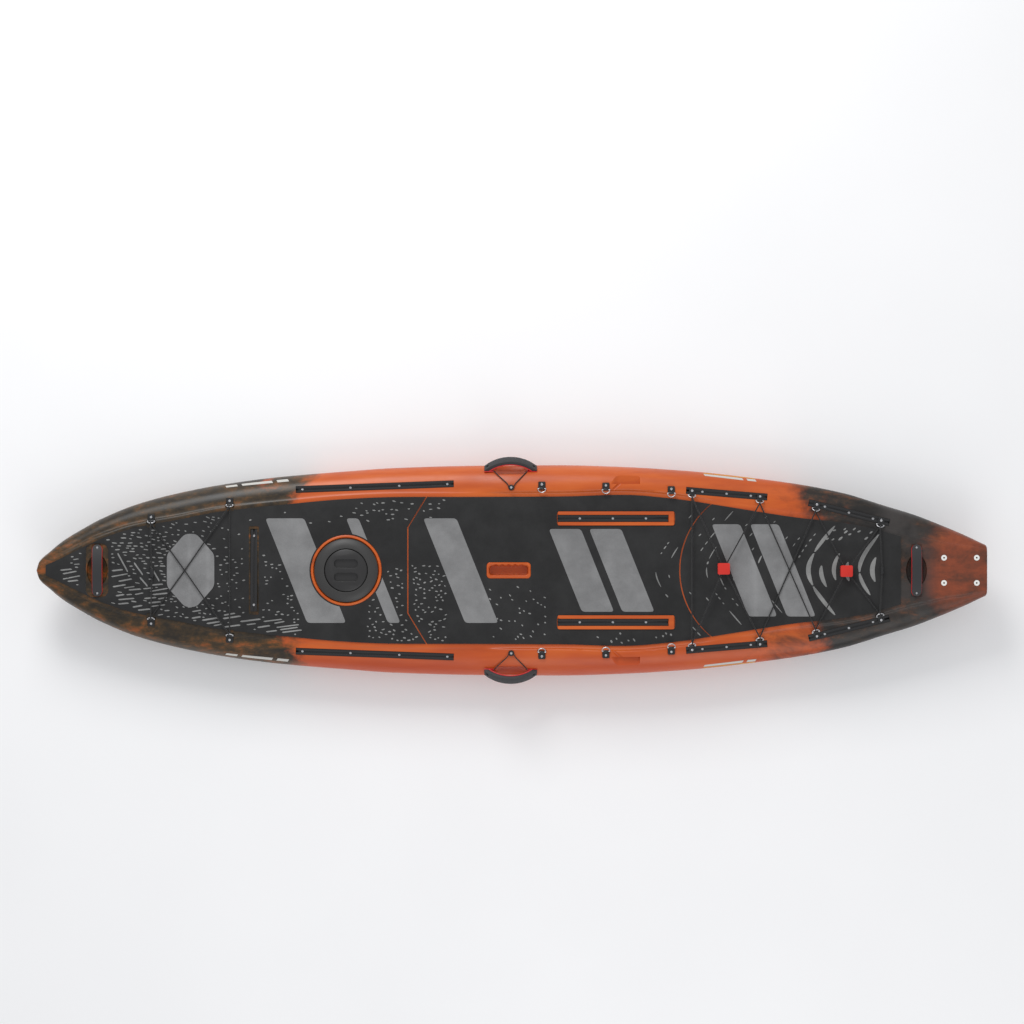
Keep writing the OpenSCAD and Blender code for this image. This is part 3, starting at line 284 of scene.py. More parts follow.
MOUNTS = [(1726 + i * 63, j * 48.5, 231.224) for i in (-1, 1) for j in (-1, 1)]
DRAIN_X, DRAIN_Z = 1818, 208.8


def both(make):
    """Calls make for starboard and port, with the matrix that carries a starboard place there."""
    return [make(Matrix.Identity(4)), make(MIRROR)]


# ---- Hull ----
def hull_ring(u, corner=14):
    half = section(u)
    ring = [(y, z) for y, z in half] + [(-y, z) for y, z in reversed(half)]
    return round_corners(ring, corner, closed=True)


def hull_skin():
    """Rings from stem to transom; the last few at each end draw in, so that both ends are rounded."""
    rings = []
    for k in range(241):
        u = 100 * math.sin(math.radians(0.75 * k - 90))
        x = u / 100 * HALF_L
        ring = hull_ring(u)
        gap = HALF_L - abs(x)
        if gap < END_ROUND:
            drawn = END_ROUND * (1 - math.sqrt(1 - (1 - gap / END_ROUND) ** 2))
            low, high, wide = min(p.y for p in ring), max(p.y for p in ring), max(p.x for p in ring)
            mid, tall = (low + high) / 2, (high - low) / 2
            across, up = max(0.12, 1 - drawn / wide), max(0.12, 1 - drawn / tall)
            ring = [Vector((p.x * across, mid + (p.y - mid) * up)) for p in ring]
        rings.append([(x, p.x, p.y) for p in ring])
    return new_piece("hull_skin", *loft(rings))


def dent(name, points, radii, squash=1.0):
    """A smooth trough along points: a chain of rings with the given radii, squashed in height."""
    rings, n = [], len(points)
    for i, p in enumerate(points):
        a, b = Vector(points[max(0, i - 1)]), Vector(points[min(n - 1, i + 1)])
        t = (b - a).normalized()
        side = t.cross(Vector((0, 0, 1))).normalized()
        up = side.cross(t)
        rings.append([Vector(p) + side * radii[i] * math.cos(w) + up * radii[i] * squash * math.sin(w)
                      for w in (2 * math.pi * k / 20 for k in range(20))])
    return new_piece(name, *loft(rings))


# the moulded channel beside the seat, a slanting gutter that drains it, and the dents along stern and bow
DENTS = [
    ("channel", [(228, 309, 206), (240, 307, 203), (300, 305, 202), (400, 304, 202), (500, 304, 202),
                 (548, 305, 203),
                 (560, 307, 206)], [2, 5, 6, 6, 6, 5, 2], 0.8),
    ("gutter", [(380, 306, 205), (392, 313, 202), (412, 330, 200), (436, 351, 197), (446, 358, 200)],
     [2, 6, 7, 6, 2], 0.9),
    ("stern_flute", [(1475, 148, 232), (1520, 143, 229.5), (1600, 131, 231), (1670, 118, 233),
                     (1700, 112, 238)],
     [3, 11, 13, 9, 2], 0.45),
    ("spray_line", [(-1500, 176, 172), (-1440, 200, 160), (-1300, 241, 149), (-1100, 291, 135),
                    (-950, 321, 130),
                    (-880, 336, 133)], [0.5, 3, 4, 4, 3, 0.5], 1.0),
]


def build_hull():
    hull = hull_skin()
    face_outwards(hull)

    def add(tool):
        combine(hull, tool, "UNION")

    def cut(tool):
        combine(hull, tool, "DIFFERENCE")

    # the rim round the hatch, the collar round the grip hole and the surrounds of the deck tracks
    rim = [(RIM_IN - 3, -5), (RIM_OUT, -5), (RIM_OUT, RIM_H - 5), (RIM_OUT - 1.2, RIM_H - 2),
           (RIM_OUT - 4, RIM_H - 0.4),
           (RIM_OUT - 7, RIM_H), (RIM_IN - 3, RIM_H)]
    add(lathe("rim", rim, (HATCH_X, 0, HATCH_DECK), close=True))
    collar = place(GRIP_X, 0, GRIP_DECK)
    add(block("collar", collar, rounded_outline(170, 62, 13), -3, 4.6, 3))

    def surround(side):
        m = side @ DECK_FRAMES["deck"]
        for j in (-1, 1):
            strip = m @ Matrix.Translation((12, j * (TRACK_W / 2 + 8), 0))
            add(block("surround", strip, rounded_outline(TRACK_L["deck"] + 26, 13, 6), 2, TRACK_H + 3, 3.5))
        end = m @ Matrix.Translation((TRACK_L["deck"] / 2 + 13, 0, 0))
        add(block("surround", end, rounded_outline(22, 53, 8), 2, TRACK_H + 3, 3.5))
    both(surround)

    def recesses(side):
        for key in ("front", "rear", "stern", "deck"):
            cut(pocket("recess", side @ DECK_FRAMES[key], TRACK_L[key] + 2, TRACK_W + 2, 1.2, 0, 0,
                       floor_r=0.4))
        seat = side @ SIDE_HANDLE
        cut(pocket("handle_seat", seat, 48, 208, 3, 0, 0, rise=60, floor_r=1))
        scoop_r, scoop_d = 46.28, 16
        axis = seat @ Matrix.Translation((0, 0, scoop_r - scoop_d)) @ Matrix.Rotation(math.pi / 2, 4, "X")
        ends = [(0.1, -66), (scoop_r * 0.55, -64), (scoop_r * 0.9, -56), (scoop_r, -44), (scoop_r, 44),
                (scoop_r * 0.9, 56), (scoop_r * 0.55, 64), (0.1, 66)]
        cut(lathe("scoop", ends, (0, 0, 0), axis, sides=64))
        # level flats for the anchors, with room for the bar of the ring
        for x, y, z in SEAT_ANCHORS + BOW_ANCHORS:
            cut(pocket("flat", side @ place(x, y, z), 29, 28, 2, 0, 0, rise=30, floor_r=0.5))
            cut(pocket("relief", side @ place(x, y - 17, z), 36, 14, 3, 0, 0, rise=30, floor_r=0.5))
        x, y, z = BUTTON
        cut(lathe("button_flat", [(0.1, 0), (12, 0), (13.5, 6), (15, 30), (0.1, 30)], (x, side[1][1] * y, z),
                  sides=48))
        for e, key in ((-0.43, "rear"), (0.41, "rear"), (-0.4, "stern"), (0.4, "stern")):
            m = side @ DECK_FRAMES[key] @ Matrix.Translation((e * TRACK_L[key], -19, TRACK_H))
            cut(pocket("relief", m, 36, 14, 3, 0, 0, rise=30, floor_r=0.5))
        # the dip for a paddle shaft: a sloped way down and an upright end, with soft edges
        outline = [(-92, 30), (-44, 0), (44, 0), (44, 30)]
        soft = round_corners([(x, z) for x, z in outline], 9, closed=False, bends=4)
        far = [[side @ Vector((450.18 + p.x, y, 184.8 + p.y)) for p in soft] for y in (334, 420)]
        cut(new_piece("notch", *loft(far)))
        for name, points, radii, squash in DENTS:
            cut(dent(name, [side @ Vector(q) for q in points], radii, squash))
        for x, y, z in ((-1617, 94, 92), (1556, 150, 108)):
            out = side[1][1]
            cut(lathe("tow_dimple", [(0.1, -9), (5, -8), (8.5, -3), (10, 3), (11, 30), (0.1, 30)],
                      (x, out * y, z),
                      Matrix.Rotation(-out * math.radians(100), 4, "X"), sides=32))
    both(recesses)
    cut(pocket("recess", DECK_FRAMES["cross"], TRACK_L["cross"] + 2, TRACK_W + 2, 1.2, 0, 0, floor_r=0.4))
    for m in (BOW_HANDLE, STERN_HANDLE):
        for i in (-1, 1):
            cut(pocket("foot", m @ Matrix.Translation((0, i * 82, 0)), 42, 38, 4, 0, 0, floor_r=1))
        bowl = []
        for k in range(9):
            a = math.radians(90 * k / 8)
            bowl.append((max(0.02, math.sin(a)), -math.cos(a)))
        bowl.append((1.06, 0.6))
        bowl.append((0.02, 0.6))
        stretch = m @ Matrix.Translation((0, 0, 1)) @ Matrix.Diagonal((40, 62, 20, 1))
        cut(lathe("trough", bowl, (0, 0, 0), stretch, sides=64))
    # the hand hole amidships, with four finger waves along its starboard edge
    cut(pocket("hand_hole", collar, 150, 37, 12, 34, 4, rise=30, floor_r=8))
    for k in range(5):
        x = GRIP_X - 50 + 25 * k
        cut(lathe("finger_wave", [(0.1, -30), (10, -26), (12, -10), (12, 0), (14.5, 3.5), (17, 10),
                                  (0.1, 10)],
                  (x, 10.5, GRIP_DECK + 1.2), sides=32))
    # the hatch: pocket, neck and the room for the tub
    well = [(0.1, TUB_FLOOR - HATCH_DECK), (TUB_HOLE, TUB_FLOOR - HATCH_DECK), (TUB_HOLE, -4),
            (RIM_IN - 2, -4), (RIM_IN, -3), (RIM_IN, RIM_H - 3),
            (RIM_IN + 1, RIM_H - 1), (RIM_IN + 3.5, RIM_H + 1), (RIM_IN + 3.5, 40), (0.1, 40)]
    cut(lathe("hatch_well", well, (HATCH_X, 0, HATCH_DECK)))
    for x, y, z in MOUNTS:
        cut(lathe("mount_seat", [(0.1, -20), (5.6, -20), (5.6, 0), (12, 0), (12.4, 0.6), (14, 2.2), (14, 20),
                                 (0.1, 20)], (x, y, z), sides=48))
    along = Matrix.Rotation(math.pi / 2, 4, "Y")
    cut(lathe("drain_seat", [(0.1, -25), (11.6, -25), (11.6, 0), (18, 0), (18, 9), (20.5, 13), (21, 30),
                             (0.1, 30)], (DRAIN_X, 0, DRAIN_Z), along, sides=64))
    return hull


# ---- Finishes ----
def paint(r, g, b):
    """A screen colour, 0 to 255 a channel, as the linear colour that shaders take."""
    return tuple(c / 12.92 if c <= 0.04045 else ((c + 0.055) / 1.055) ** 2.4
                 for c in (r / 255, g / 255, b / 255)) + (1,)


class Finish:
    """A material under construction; a node's inputs are values or other nodes' outputs."""

    def __init__(self, tree):
        self.tree = tree

    def node(self, kind, out=0, set=None, **inputs):
        n = self.tree.nodes.new(kind)
        for k, v in (set or {}).items():
            setattr(n, k, v)
        for k, v in inputs.items():
            numbered = k[0] == "i" and k[1:].isdigit()
            socket = n.inputs[int(k[1:]) if numbered else k.replace("_", " ")]
            if isinstance(v, bpy.types.NodeSocket):
                self.tree.links.new(v, socket)
            else:
                socket.default_value = v
        return n.outputs[out]

    def math(self, how, a, b=0.0, c=0.0, hold=False):
        return self.node("ShaderNodeMath", set={"operation": how, "use_clamp": hold}, i0=a, i1=b, i2=c)

    def blend(self, share, a, b):
        return self.node("ShaderNodeMix", out=2, set={"data_type": "RGBA"}, i0=share, i6=a, i7=b)

    def noise(self, where, scale, detail=4.0, rough=0.55, warp=0.0):
        return self.node("ShaderNodeTexNoise", Vector=where, Scale=scale, Detail=detail, Roughness=rough,
                         Distortion=warp)

    def ramp(self, value, stops):
        n = self.tree.nodes.new("ShaderNodeValToRGB")
        while len(n.color_ramp.elements) < len(stops):
            n.color_ramp.elements.new(0.5)
        for e, (at, colour) in zip(n.color_ramp.elements, stops):
            e.position, e.color = at, colour
        self.tree.links.new(value, n.inputs[0])
        return n.outputs[0]

    def span(self, value, low, high):
        """0 below low, 1 above high, smooth between."""
        return self.node("ShaderNodeMapRange", set={"interpolation_type": "SMOOTHSTEP"}, i0=value, i1=low,
                         i2=high)

    def stretch(self, where, x, y, z):
        return self.node("ShaderNodeMapping", Vector=where, Scale=(x, y, z))


def group(name, ins, outs, build):
    tree = bpy.data.node_groups.new(name, "ShaderNodeTree")
    for label, kind, value in ins:
        s = tree.interface.new_socket(label, in_out="INPUT", socket_type=kind)
        s.default_value = value
    for label, kind in outs:
        tree.interface.new_socket(label, in_out="OUTPUT", socket_type=kind)
    start, end = tree.nodes.new("NodeGroupInput"), tree.nodes.new("NodeGroupOutput")
    for label, value in build(Finish(tree), start.outputs).items():
        tree.links.new(value, end.inputs[label])
    return tree


def grain_build(f, given):
    """Fine moulded or cast grain: a height to bump, and a shade and roughness that vary over the surface."""
    where = f.node("ShaderNodeTexCoord", out=3)
    fine = f.noise(where, given["Grain Scale"], 3, 0.6)
    broad = f.noise(where, given["Cloud Scale"], 4, 0.55)
    scuffs = f.noise(f.stretch(where, 1, 6, 3), f.math("MULTIPLY", given["Cloud Scale"], 9.0), 5, 0.7)
    scuff = f.math("MULTIPLY", f.span(scuffs, 0.60, 0.74), given["Scuffs"])
    shade = f.math("ADD", f.math("MULTIPLY_ADD", f.math("SUBTRACT", broad, 0.5), given["Cloud"], 1.0),
                   f.math("MULTIPLY", f.math("SUBTRACT", fine, 0.5), given["Fleck"]))
    rough = f.math("ADD", f.math("MULTIPLY_ADD", f.math("SUBTRACT", broad, 0.5), 0.18, given["Roughness"]),
                   f.math("MULTIPLY", scuff, 0.25), hold=True)
    tint = f.node("ShaderNodeVectorMath", set={"operation": "SCALE"}, i0=given["Color"],
                  Scale=f.math("ADD", shade, scuff))
    return {"Color": tint, "Roughness": rough, "Height": f.math("ADD", fine, f.math("MULTIPLY", scuff, -0.4))}


def foam_build(f, given):
    """Soft foam sheet with a fine pressed diamond texture, painted shade in its pits and a dusting of light
    flecks.
    """
    where = f.node("ShaderNodeTexCoord", out=3)
    turned = f.node("ShaderNodeMapping", Vector=where, Rotation=(0, 0, math.radians(45)))
    cells = f.node("ShaderNodeTexVoronoi", set={"feature": "F1", "distance": "CHEBYCHEV"}, Vector=turned,
                   Scale=given["Weave"], Randomness=0.05)
    cloud = f.noise(where, 9, 6, 0.6)
    fleck = f.noise(where, 420, 4, 0.7)
    shade = f.math("ADD", f.math("MULTIPLY", cloud, 0.6), f.math("MULTIPLY", fleck, 0.4))
    colour = f.blend(f.span(shade, 0.36, 0.66), given["Dark"], given["Light"])
    pit = f.span(cells, 0.55, 0.25)
    # painted shade: the colour is darkened towards near-black in the pressed pits of the diamond texture
    colour = f.blend(f.math("MULTIPLY", pit, 0.18), colour, paint(20, 20, 20))
    relief = f.math("ADD", f.math("MULTIPLY", pit, -0.7), f.math("MULTIPLY", fleck, 0.5))
    return {"Color": colour, "Roughness": f.math("MULTIPLY_ADD", fleck, 0.2, 0.66), "Height": relief}


def metal_build(f, given):
    """Fine drawn lines in roughness and bump, with a few dull spots."""
    where = f.node("ShaderNodeTexCoord", out=3)
    lines = f.noise(f.node("ShaderNodeMapping", Vector=where, Scale=given["Stretch"]), 700, 3, 0.6)
    dull = f.span(f.noise(where, 160, 4, 0.6), 0.5, 0.7)
    colour = f.blend(f.math("MULTIPLY", dull, 0.35), given["Color"], given["Spot Color"])
    rough = f.math("ADD", f.math("MULTIPLY_ADD", lines, 0.18, given["Roughness"]),
                   f.math("MULTIPLY", dull, 0.15))
    return {"Color": colour, "Roughness": rough, "Height": lines}


SURFACE = [("Color", "NodeSocketColor"), ("Roughness", "NodeSocketFloat"), ("Height", "NodeSocketFloat")]
GRAIN = group("surface_grain",
              [("Color", "NodeSocketColor", (0.5, 0.5, 0.5, 1)), ("Grain Scale", "NodeSocketFloat", 600),
               ("Cloud Scale", "NodeSocketFloat", 6), ("Cloud", "NodeSocketFloat", 0.3),
               ("Fleck", "NodeSocketFloat", 0.2),
               ("Scuffs", "NodeSocketFloat", 0.1), ("Roughness", "NodeSocketFloat", 0.5)], SURFACE,
              grain_build)
FOAM_WEAVE = group("foam_weave",
                   [("Dark", "NodeSocketColor", (0.01, 0.01, 0.01, 1)),
                    ("Light", "NodeSocketColor", (0.02, 0.02, 0.02, 1)),
                    ("Weave", "NodeSocketFloat", 330)], SURFACE, foam_build)
DRAWN_METAL = group("drawn_metal",
                    [("Color", "NodeSocketColor", (0.6, 0.6, 0.6, 1)),
                     ("Spot Color", "NodeSocketColor", (0.3, 0.3, 0.3, 1)),
                     ("Roughness", "NodeSocketFloat", 0.2), ("Stretch", "NodeSocketVector", (1, 9, 1))],
                    SURFACE, metal_build)


def new_finish(name, **fixed):
    mat = bpy.data.materials.new(name)
    mat.use_nodes = True
    shader = mat.node_tree.nodes["Principled BSDF"]
    for k, v in fixed.items():
        shader.inputs[k.replace("_", " ")].default_value = v
    return mat, Finish(mat.node_tree), shader


def textured(name, texture, values, bump, depth, **fixed):
    """A material whose colour, roughness and bump come from a shared group, placed with its own values."""
    mat, f, shader = new_finish(name, **fixed)
    g = mat.node_tree.nodes.new("ShaderNodeGroup")
    g.node_tree = texture
    for label, value in values.items():
        g.inputs[label].default_value = value
    f.tree.links.new(g.outputs["Color"], shader.inputs["Base Color"])
    f.tree.links.new(g.outputs["Roughness"], shader.inputs["Roughness"])
    f.tree.links.new(f.node("ShaderNodeBump", Strength=bump, Distance=depth, Height=g.outputs["Height"]),
                     shader.inputs["Normal"])
    return mat


def grained(name, colour, bump=0.15, depth=0.0004, grain=600, cloud=0.3, cloud_scale=6, fleck=0.2, scuffs=0.1,
            rough=0.5, **fixed):
    """A plain finish in one colour, with moulded grain for its variation, wear and bump."""
    values = {"Color": colour, "Grain Scale": grain, "Cloud Scale": cloud_scale, "Cloud": cloud,
              "Fleck": fleck,
              "Scuffs": scuffs, "Roughness": rough}
    return textured(name, GRAIN, values, bump, depth, **fixed)


def foam_finish(name, dark, light):
    """A cut foam sheet, between two shades."""
    return textured(name, FOAM_WEAVE, {"Dark": dark, "Light": light, "Weave": 330.0}, 0.35, 0.0007,
                    Specular_IOR_Level=0.3, Sheen_Weight=0.12, Sheen_Roughness=0.6)


def metal_finish(name, colour, rough, brush):
    """Drawn or turned metal, with its lines brush times finer across than along."""
    spots = tuple(c * 0.45 for c in colour[:3]) + (1,)
    values = {"Color": colour, "Spot Color": spots, "Roughness": rough, "Stretch": (1, brush, 1)}
    return textured(name, DRAWN_METAL, values, 0.1, 0.0002, Metallic=1.0)


def hull_finish():
    """Orange amidships, running into cloudy brown and black towards both ends, with painted shade darkening
    the port flank.
    """
    mat, f, shader = new_finish("moulded_hull", Specular_IOR_Level=0.42)
    where = f.node("ShaderNodeTexCoord", out=3)
    x, y, _ = f.node("ShaderNodeSeparateXYZ", i0=where).node.outputs
    side = f.math("ABSOLUTE", y)
    drift = f.math("SUBTRACT", f.noise(f.stretch(where, 1, 1.3, 1), 5.0, 7, 0.62, warp=0.4), 0.5)
    edge = f.math("MULTIPLY", drift, 0.62)
    bow = f.span(f.math("ADD", f.math("MULTIPLY", x, -1.0), edge), 0.79, 0.91)
    stern = f.span(f.math("ADD", x, f.math("ADD", f.math("MULTIPLY", side, 0.55),
                                           f.math("MULTIPLY", drift, 0.9))), 1.13, 1.42)
    flow = f.noise(f.stretch(where, 0.55, 1.5, 1.5), 5.5, 9, 0.68, warp=0.9)
    mottle = f.noise(f.stretch(where, 0.8, 1.2, 1.2), 21.0, 8, 0.72)
    clouds = f.math("ADD", f.math("MULTIPLY", flow, 0.58), f.math("MULTIPLY", mottle, 0.42))
    brown = f.ramp(clouds, [(0.38, paint(24, 20, 15)), (0.45, paint(42, 33, 20)), (0.50, paint(62, 46, 24)),
                            (0.545, paint(92, 60, 26)),
                            (0.60, paint(134, 72, 26)), (0.68, paint(160, 84, 30))])
    dark = f.ramp(clouds, [(0.38, paint(15, 14, 13)), (0.47, paint(28, 24, 21)), (0.54, paint(50, 38, 29)),
                           (0.60, paint(92, 54, 30)), (0.69, paint(140, 70, 30))])
    plate = f.ramp(clouds, [(0.36, paint(60, 44, 36)), (0.45, paint(104, 54, 34)), (0.54, paint(130, 62, 36)),
                            (0.66, paint(152, 74, 40))])
    streak = f.noise(f.stretch(where, 0.35, 2.2, 2.2), 7.0, 5, 0.6)
    orange = f.ramp(streak, [(0.30, paint(178, 74, 22)), (0.48, paint(192, 84, 25)),
                             (0.56, paint(198, 90, 27)), (0.72, paint(206, 100, 36))])
    amid = f.blend(f.math("MULTIPLY", f.span(mottle, 0.62, 0.78), 0.22), orange, paint(160, 84, 40))
    # painted shade: the port flank (negative y) is blended towards a darker red, as if the light fell from
    # starboard
    port_painted_shade = f.span(f.math("ADD", y, f.math("MULTIPLY", drift, 0.1)), -0.27, -0.40)
    amid = f.blend(f.math("MULTIPLY", port_painted_shade, 0.45), amid, paint(184, 58, 30))
    ended = f.blend(bow, amid, brown)
    aft = f.blend(f.span(f.math("ADD", f.math("MULTIPLY_ADD", side, -0.6, x),
                                f.math("MULTIPLY", drift, 0.35)), 1.50, 1.62), dark, plate)
    colour = f.blend(stern, ended, aft)
    grey = f.math("MULTIPLY", f.span(f.noise(where, 2.6, 5, 0.6), 0.38, 0.52),
                  f.math("MULTIPLY", f.span(x, 1.38, 1.47), f.span(x, 1.66, 1.57)))
    colour = f.blend(f.math("MULTIPLY", grey, 0.85), colour, paint(58, 54, 52))
    fleck = f.noise(where, 900, 2, 0.6)
    scuff = f.span(f.noise(f.stretch(where, 0.5, 3, 3), 42, 6, 0.75), 0.66, 0.80)
    colour = f.blend(f.math("MULTIPLY", scuff, 0.16), colour, paint(236, 196, 160))
    f.tree.links.new(colour, shader.inputs["Base Color"])
    worn = f.math("ADD", f.math("MULTIPLY_ADD", mottle, 0.22, 0.27), f.math("MULTIPLY", scuff, 0.2),
                  hold=True)
    f.tree.links.new(worn, shader.inputs["Roughness"])
    peel = f.math("ADD", f.math("MULTIPLY", fleck, 0.35), f.noise(where, 130, 3, 0.5))
    f.tree.links.new(f.node("ShaderNodeBump", Strength=0.16, Distance=0.0006, Height=peel),
                     shader.inputs["Normal"])
    return mat


def cord_finish():
    """Black woven sheath with a pale tracer thread."""
    mat, f, shader = new_finish("woven_cord", Sheen_Weight=0.25, Sheen_Roughness=0.5, Specular_IOR_Level=0.3)
    where = f.node("ShaderNodeTexCoord", out=3)
    plait = f.node("ShaderNodeTexVoronoi", set={"feature": "F1"}, Vector=where, Scale=900.0, Randomness=0.35)
    tracer = f.span(f.noise(where, 260, 2, 0.5), 0.66, 0.72)
    f.tree.links.new(f.blend(f.math("MULTIPLY", tracer, 0.35),
                             f.blend(plait, paint(15, 15, 16), paint(44, 43, 43)), paint(110, 108, 104)),
                     shader.inputs["Base Color"])
    f.tree.links.new(f.math("MULTIPLY_ADD", plait, 0.25, 0.6), shader.inputs["Roughness"])
    f.tree.links.new(f.node("ShaderNodeBump", Strength=0.5, Distance=0.0004, Height=plait),
                     shader.inputs["Normal"])
    return mat


HULL = hull_finish()
FOAM = foam_finish("deck_foam", paint(25, 25, 25), paint(41, 41, 41))
PANEL = foam_finish("panel_foam", paint(119, 119, 119), paint(142, 142, 142))
ROUTED = foam_finish("routed_foam", paint(118, 118, 117), paint(152, 152, 150))
HATCH = grained("hatch_plastic", paint(52, 51, 50), bump=0.3, grain=500, cloud=0.35, fleck=0.3, scuffs=0.12,
                rough=0.46)
TURNER = grained("turn_handle_plastic", paint(38, 37, 37), bump=0.25, grain=450, cloud=0.3, fleck=0.25,
                 scuffs=0.1, rough=0.4)
BLACK = grained("black_plastic", paint(26, 26, 27), bump=0.2, grain=700, cloud=0.3, fleck=0.25, scuffs=0.15,
                rough=0.36)
RAIL = grained("black_rail", paint(19, 18, 19), bump=0.1, grain=900, cloud=0.3, fleck=0.2, scuffs=0.2,
               rough=0.34, Specular_IOR_Level=0.6)
RUBBER = grained("grip_rubber", paint(40, 40, 42), bump=0.45, depth=0.0007, grain=380, cloud=0.35, fleck=0.35,
                 scuffs=0.06, rough=0.56)
SEAL = grained("seal_rubber", paint(22, 22, 22), bump=0.2, grain=500, cloud=0.2, fleck=0.2, scuffs=0.03,
               rough=0.62)
RED = grained("red_liner", paint(204, 34, 38), bump=0.2, grain=600, cloud=0.22, fleck=0.12, scuffs=0.06,
              rough=0.42)
HUB = grained("red_hub", paint(206, 38, 24), bump=0.2, grain=500, cloud=0.2, fleck=0.15, scuffs=0.06,
              rough=0.4)
WHITE = grained("white_washer", paint(236, 235, 230), bump=0.15, grain=600, cloud=0.08, fleck=0.06,
                scuffs=0.0, rough=0.42)
CORE = grained("core_foam", paint(232, 232, 228), bump=0.6, depth=0.001, grain=260, cloud=0.1, fleck=0.15,
               scuffs=0.0, rough=0.85)
WHITE_STRIPE = grained("white_stripe", paint(196, 194, 188), bump=0.05, grain=500, cloud=0.12, fleck=0.1,
                       scuffs=0.1, rough=0.4)
YELLOW_STRIPE = grained("yellow_stripe", paint(222, 178, 40), bump=0.05, grain=500, cloud=0.12, fleck=0.1,
                        scuffs=0.1, rough=0.4)
CORD = cord_finish()
STEEL = metal_finish("stainless_steel", paint(205, 205, 206), 0.2, 9)
BRASS = metal_finish("brass_insert", paint(196, 158, 84), 0.24, 5)


def wear(obj, *materials):
    obj.data.materials.clear()
    for m in materials:
        obj.data.materials.append(m)
    return obj


# ---- Deck pads ----
PAD_T = 4
PANEL_LIFT, MARK_LIFT = 0.9, 0.5        # how far inlays stand above the pad
PAD_FORE, PAD_AFT = -1775, 1480         # ends of the marked part of the pads
STERN_SEAM_R, SEAM_CLEAR = 330, 14
RIPPLES, RIPPLE_START, RIPPLE_STEP, RIPPLE_END, RIPPLE_Y, BOLD_FROM = 20, 555, 49, 1446, 292, 1110


def flat_inlay(verts, faces, kinds, outline, lift, kind, cell=40.0, holes=()):
    """Adds a closed thin slab over an outline, bent along the deck and open over holes, to a pad's lists."""
    outline = [Vector(p[:2]) for p in outline]
    loops = [outline] + [[Vector(p) for p in h] for h in holes]
    coords, edges = [], []
    for loop in loops:
        edges += [(len(coords) + i, len(coords) + (i + 1) % len(loop)) for i in range(len(loop))]
        coords += loop
    x = math.ceil(min(p.x for p in outline) / cell) * cell
    while x < max(p.x for p in outline):
        cuts = sorted(a.y + (b.y - a.y) * (x - a.x) / (b.x - a.x) for a,
                      b in zip(outline, outline[1:] + outline[:1]) if (a.x - x) * (b.x - x) < 0)
        for lo, hi in zip(cuts[::2], cuts[1::2]):
            if hi - lo > 6:
                coords += [Vector((x, lo + (hi - lo) * k / 4)) for k in (1, 2, 3)]
        x += cell
    points, _, tris, *_ = delaunay_2d_cdt(coords, edges, [], 0, 1e-6)

    def wanted(t):
        c = sum((points[i] for i in t), Vector((0, 0))) / 3
        return inside(c, outline) and not any(inside(c, h) for h in holes)
    tris = [t for t in tris if wanted(t)]
    base = len(verts)
    n = len(points)
    verts += [(p.x, p.y, deck_z(p.x) + PAD_T + lift) for p in points]
    verts += [(p.x, p.y, deck_z(p.x) + PAD_T - 1.2) for p in points]
    rim = {}
    for t in tris:
        faces.append(tuple(base + i for i in t))
        faces.append(tuple(base + n + i for i in reversed(t)))
        kinds += [kind, kind]
        for a, b in zip(t, t[1:] + t[:1]):
            rim[(a, b)] = True
    for a, b in rim:
        if (b, a) not in rim:
            faces.append((base + b, base + a, base + n + a, base + n + b))
            kinds.append(kind)


def inside(p, outline):
    hit = False
    for a, b in zip(outline, outline[1:] + outline[:1]):
        if (a[1] > p[1]) != (b[1] > p[1]) and p[0] < (b[0] - a[0]) * (p[1] - a[1]) / (b[1] - a[1]) + a[0]:
            hit = not hit
    return hit


def soft_polygon(points, r):
    return [(p.x, p.y) for p in round_corners(points, r, closed=True, bends=4)]


def slanted(fore, aft, top, bottom, lean=0.4, r=13):
    """A plain leaning panel from fore to aft at mid height; every panel but the bow's leans alike."""
    mid = (top + bottom) / 2
    return soft_polygon([(fore - lean * (top - mid), top), (aft - lean * (top - mid), top),
                         (aft + lean * (mid - bottom), bottom), (fore + lean * (mid - bottom), bottom)], r)


# plain leaning panels, and an octagon at the bow
PANELS = [
    ("bow", soft_polygon([(-1331, 62), (-1262, 141), (-1218, 141), (-1149, 62), (-1149, -62), (-1218, -141),
                          (-1262, -141), (-1331, -62)], 16)),
    ("bow", slanted(-872, -722, 201, -203)),
    ("bow", slanted(-560, -512, 201, -203)),
    ("centre", slanted(-262, -134, 201, -203)),
    ("centre", slanted(206, 330, 160, -160)),
    ("centre", slanted(362, 486, 160, -160)),
    ("stern", slanted(842, 952, 178, -178)),
    ("stern", slanted(990, 1100, 178, -178)),
]
HATCH_CLEAR = [(HATCH_X + (RIM_OUT + 5) * math.cos(2 * math.pi * k / 72),
                (RIM_OUT + 5) * math.sin(2 * math.pi * k / 72)) for k in range(72)]


# rectangles that stay free of marks: centre x and y, half length and half width, on both sides where y isn't 0
KEPT_CLEAR = [(GRIP_X, 0, 95, 42), (402, 200.6, 242, 36), (-997, 0, 30, 182), (-1597.6, 0, 52, 114),
              (1557.3, 0, 52, 114)]


def seams(y):
    """Where the bow pad meets the centre pad and that one the stern pad, y off the centreline."""
    bow_seam = -402.6 + max(0, y - 165) * 0.62
    return bow_seam, 647.8 + STERN_SEAM_R - math.sqrt(max(0, STERN_SEAM_R**2 - y * y))


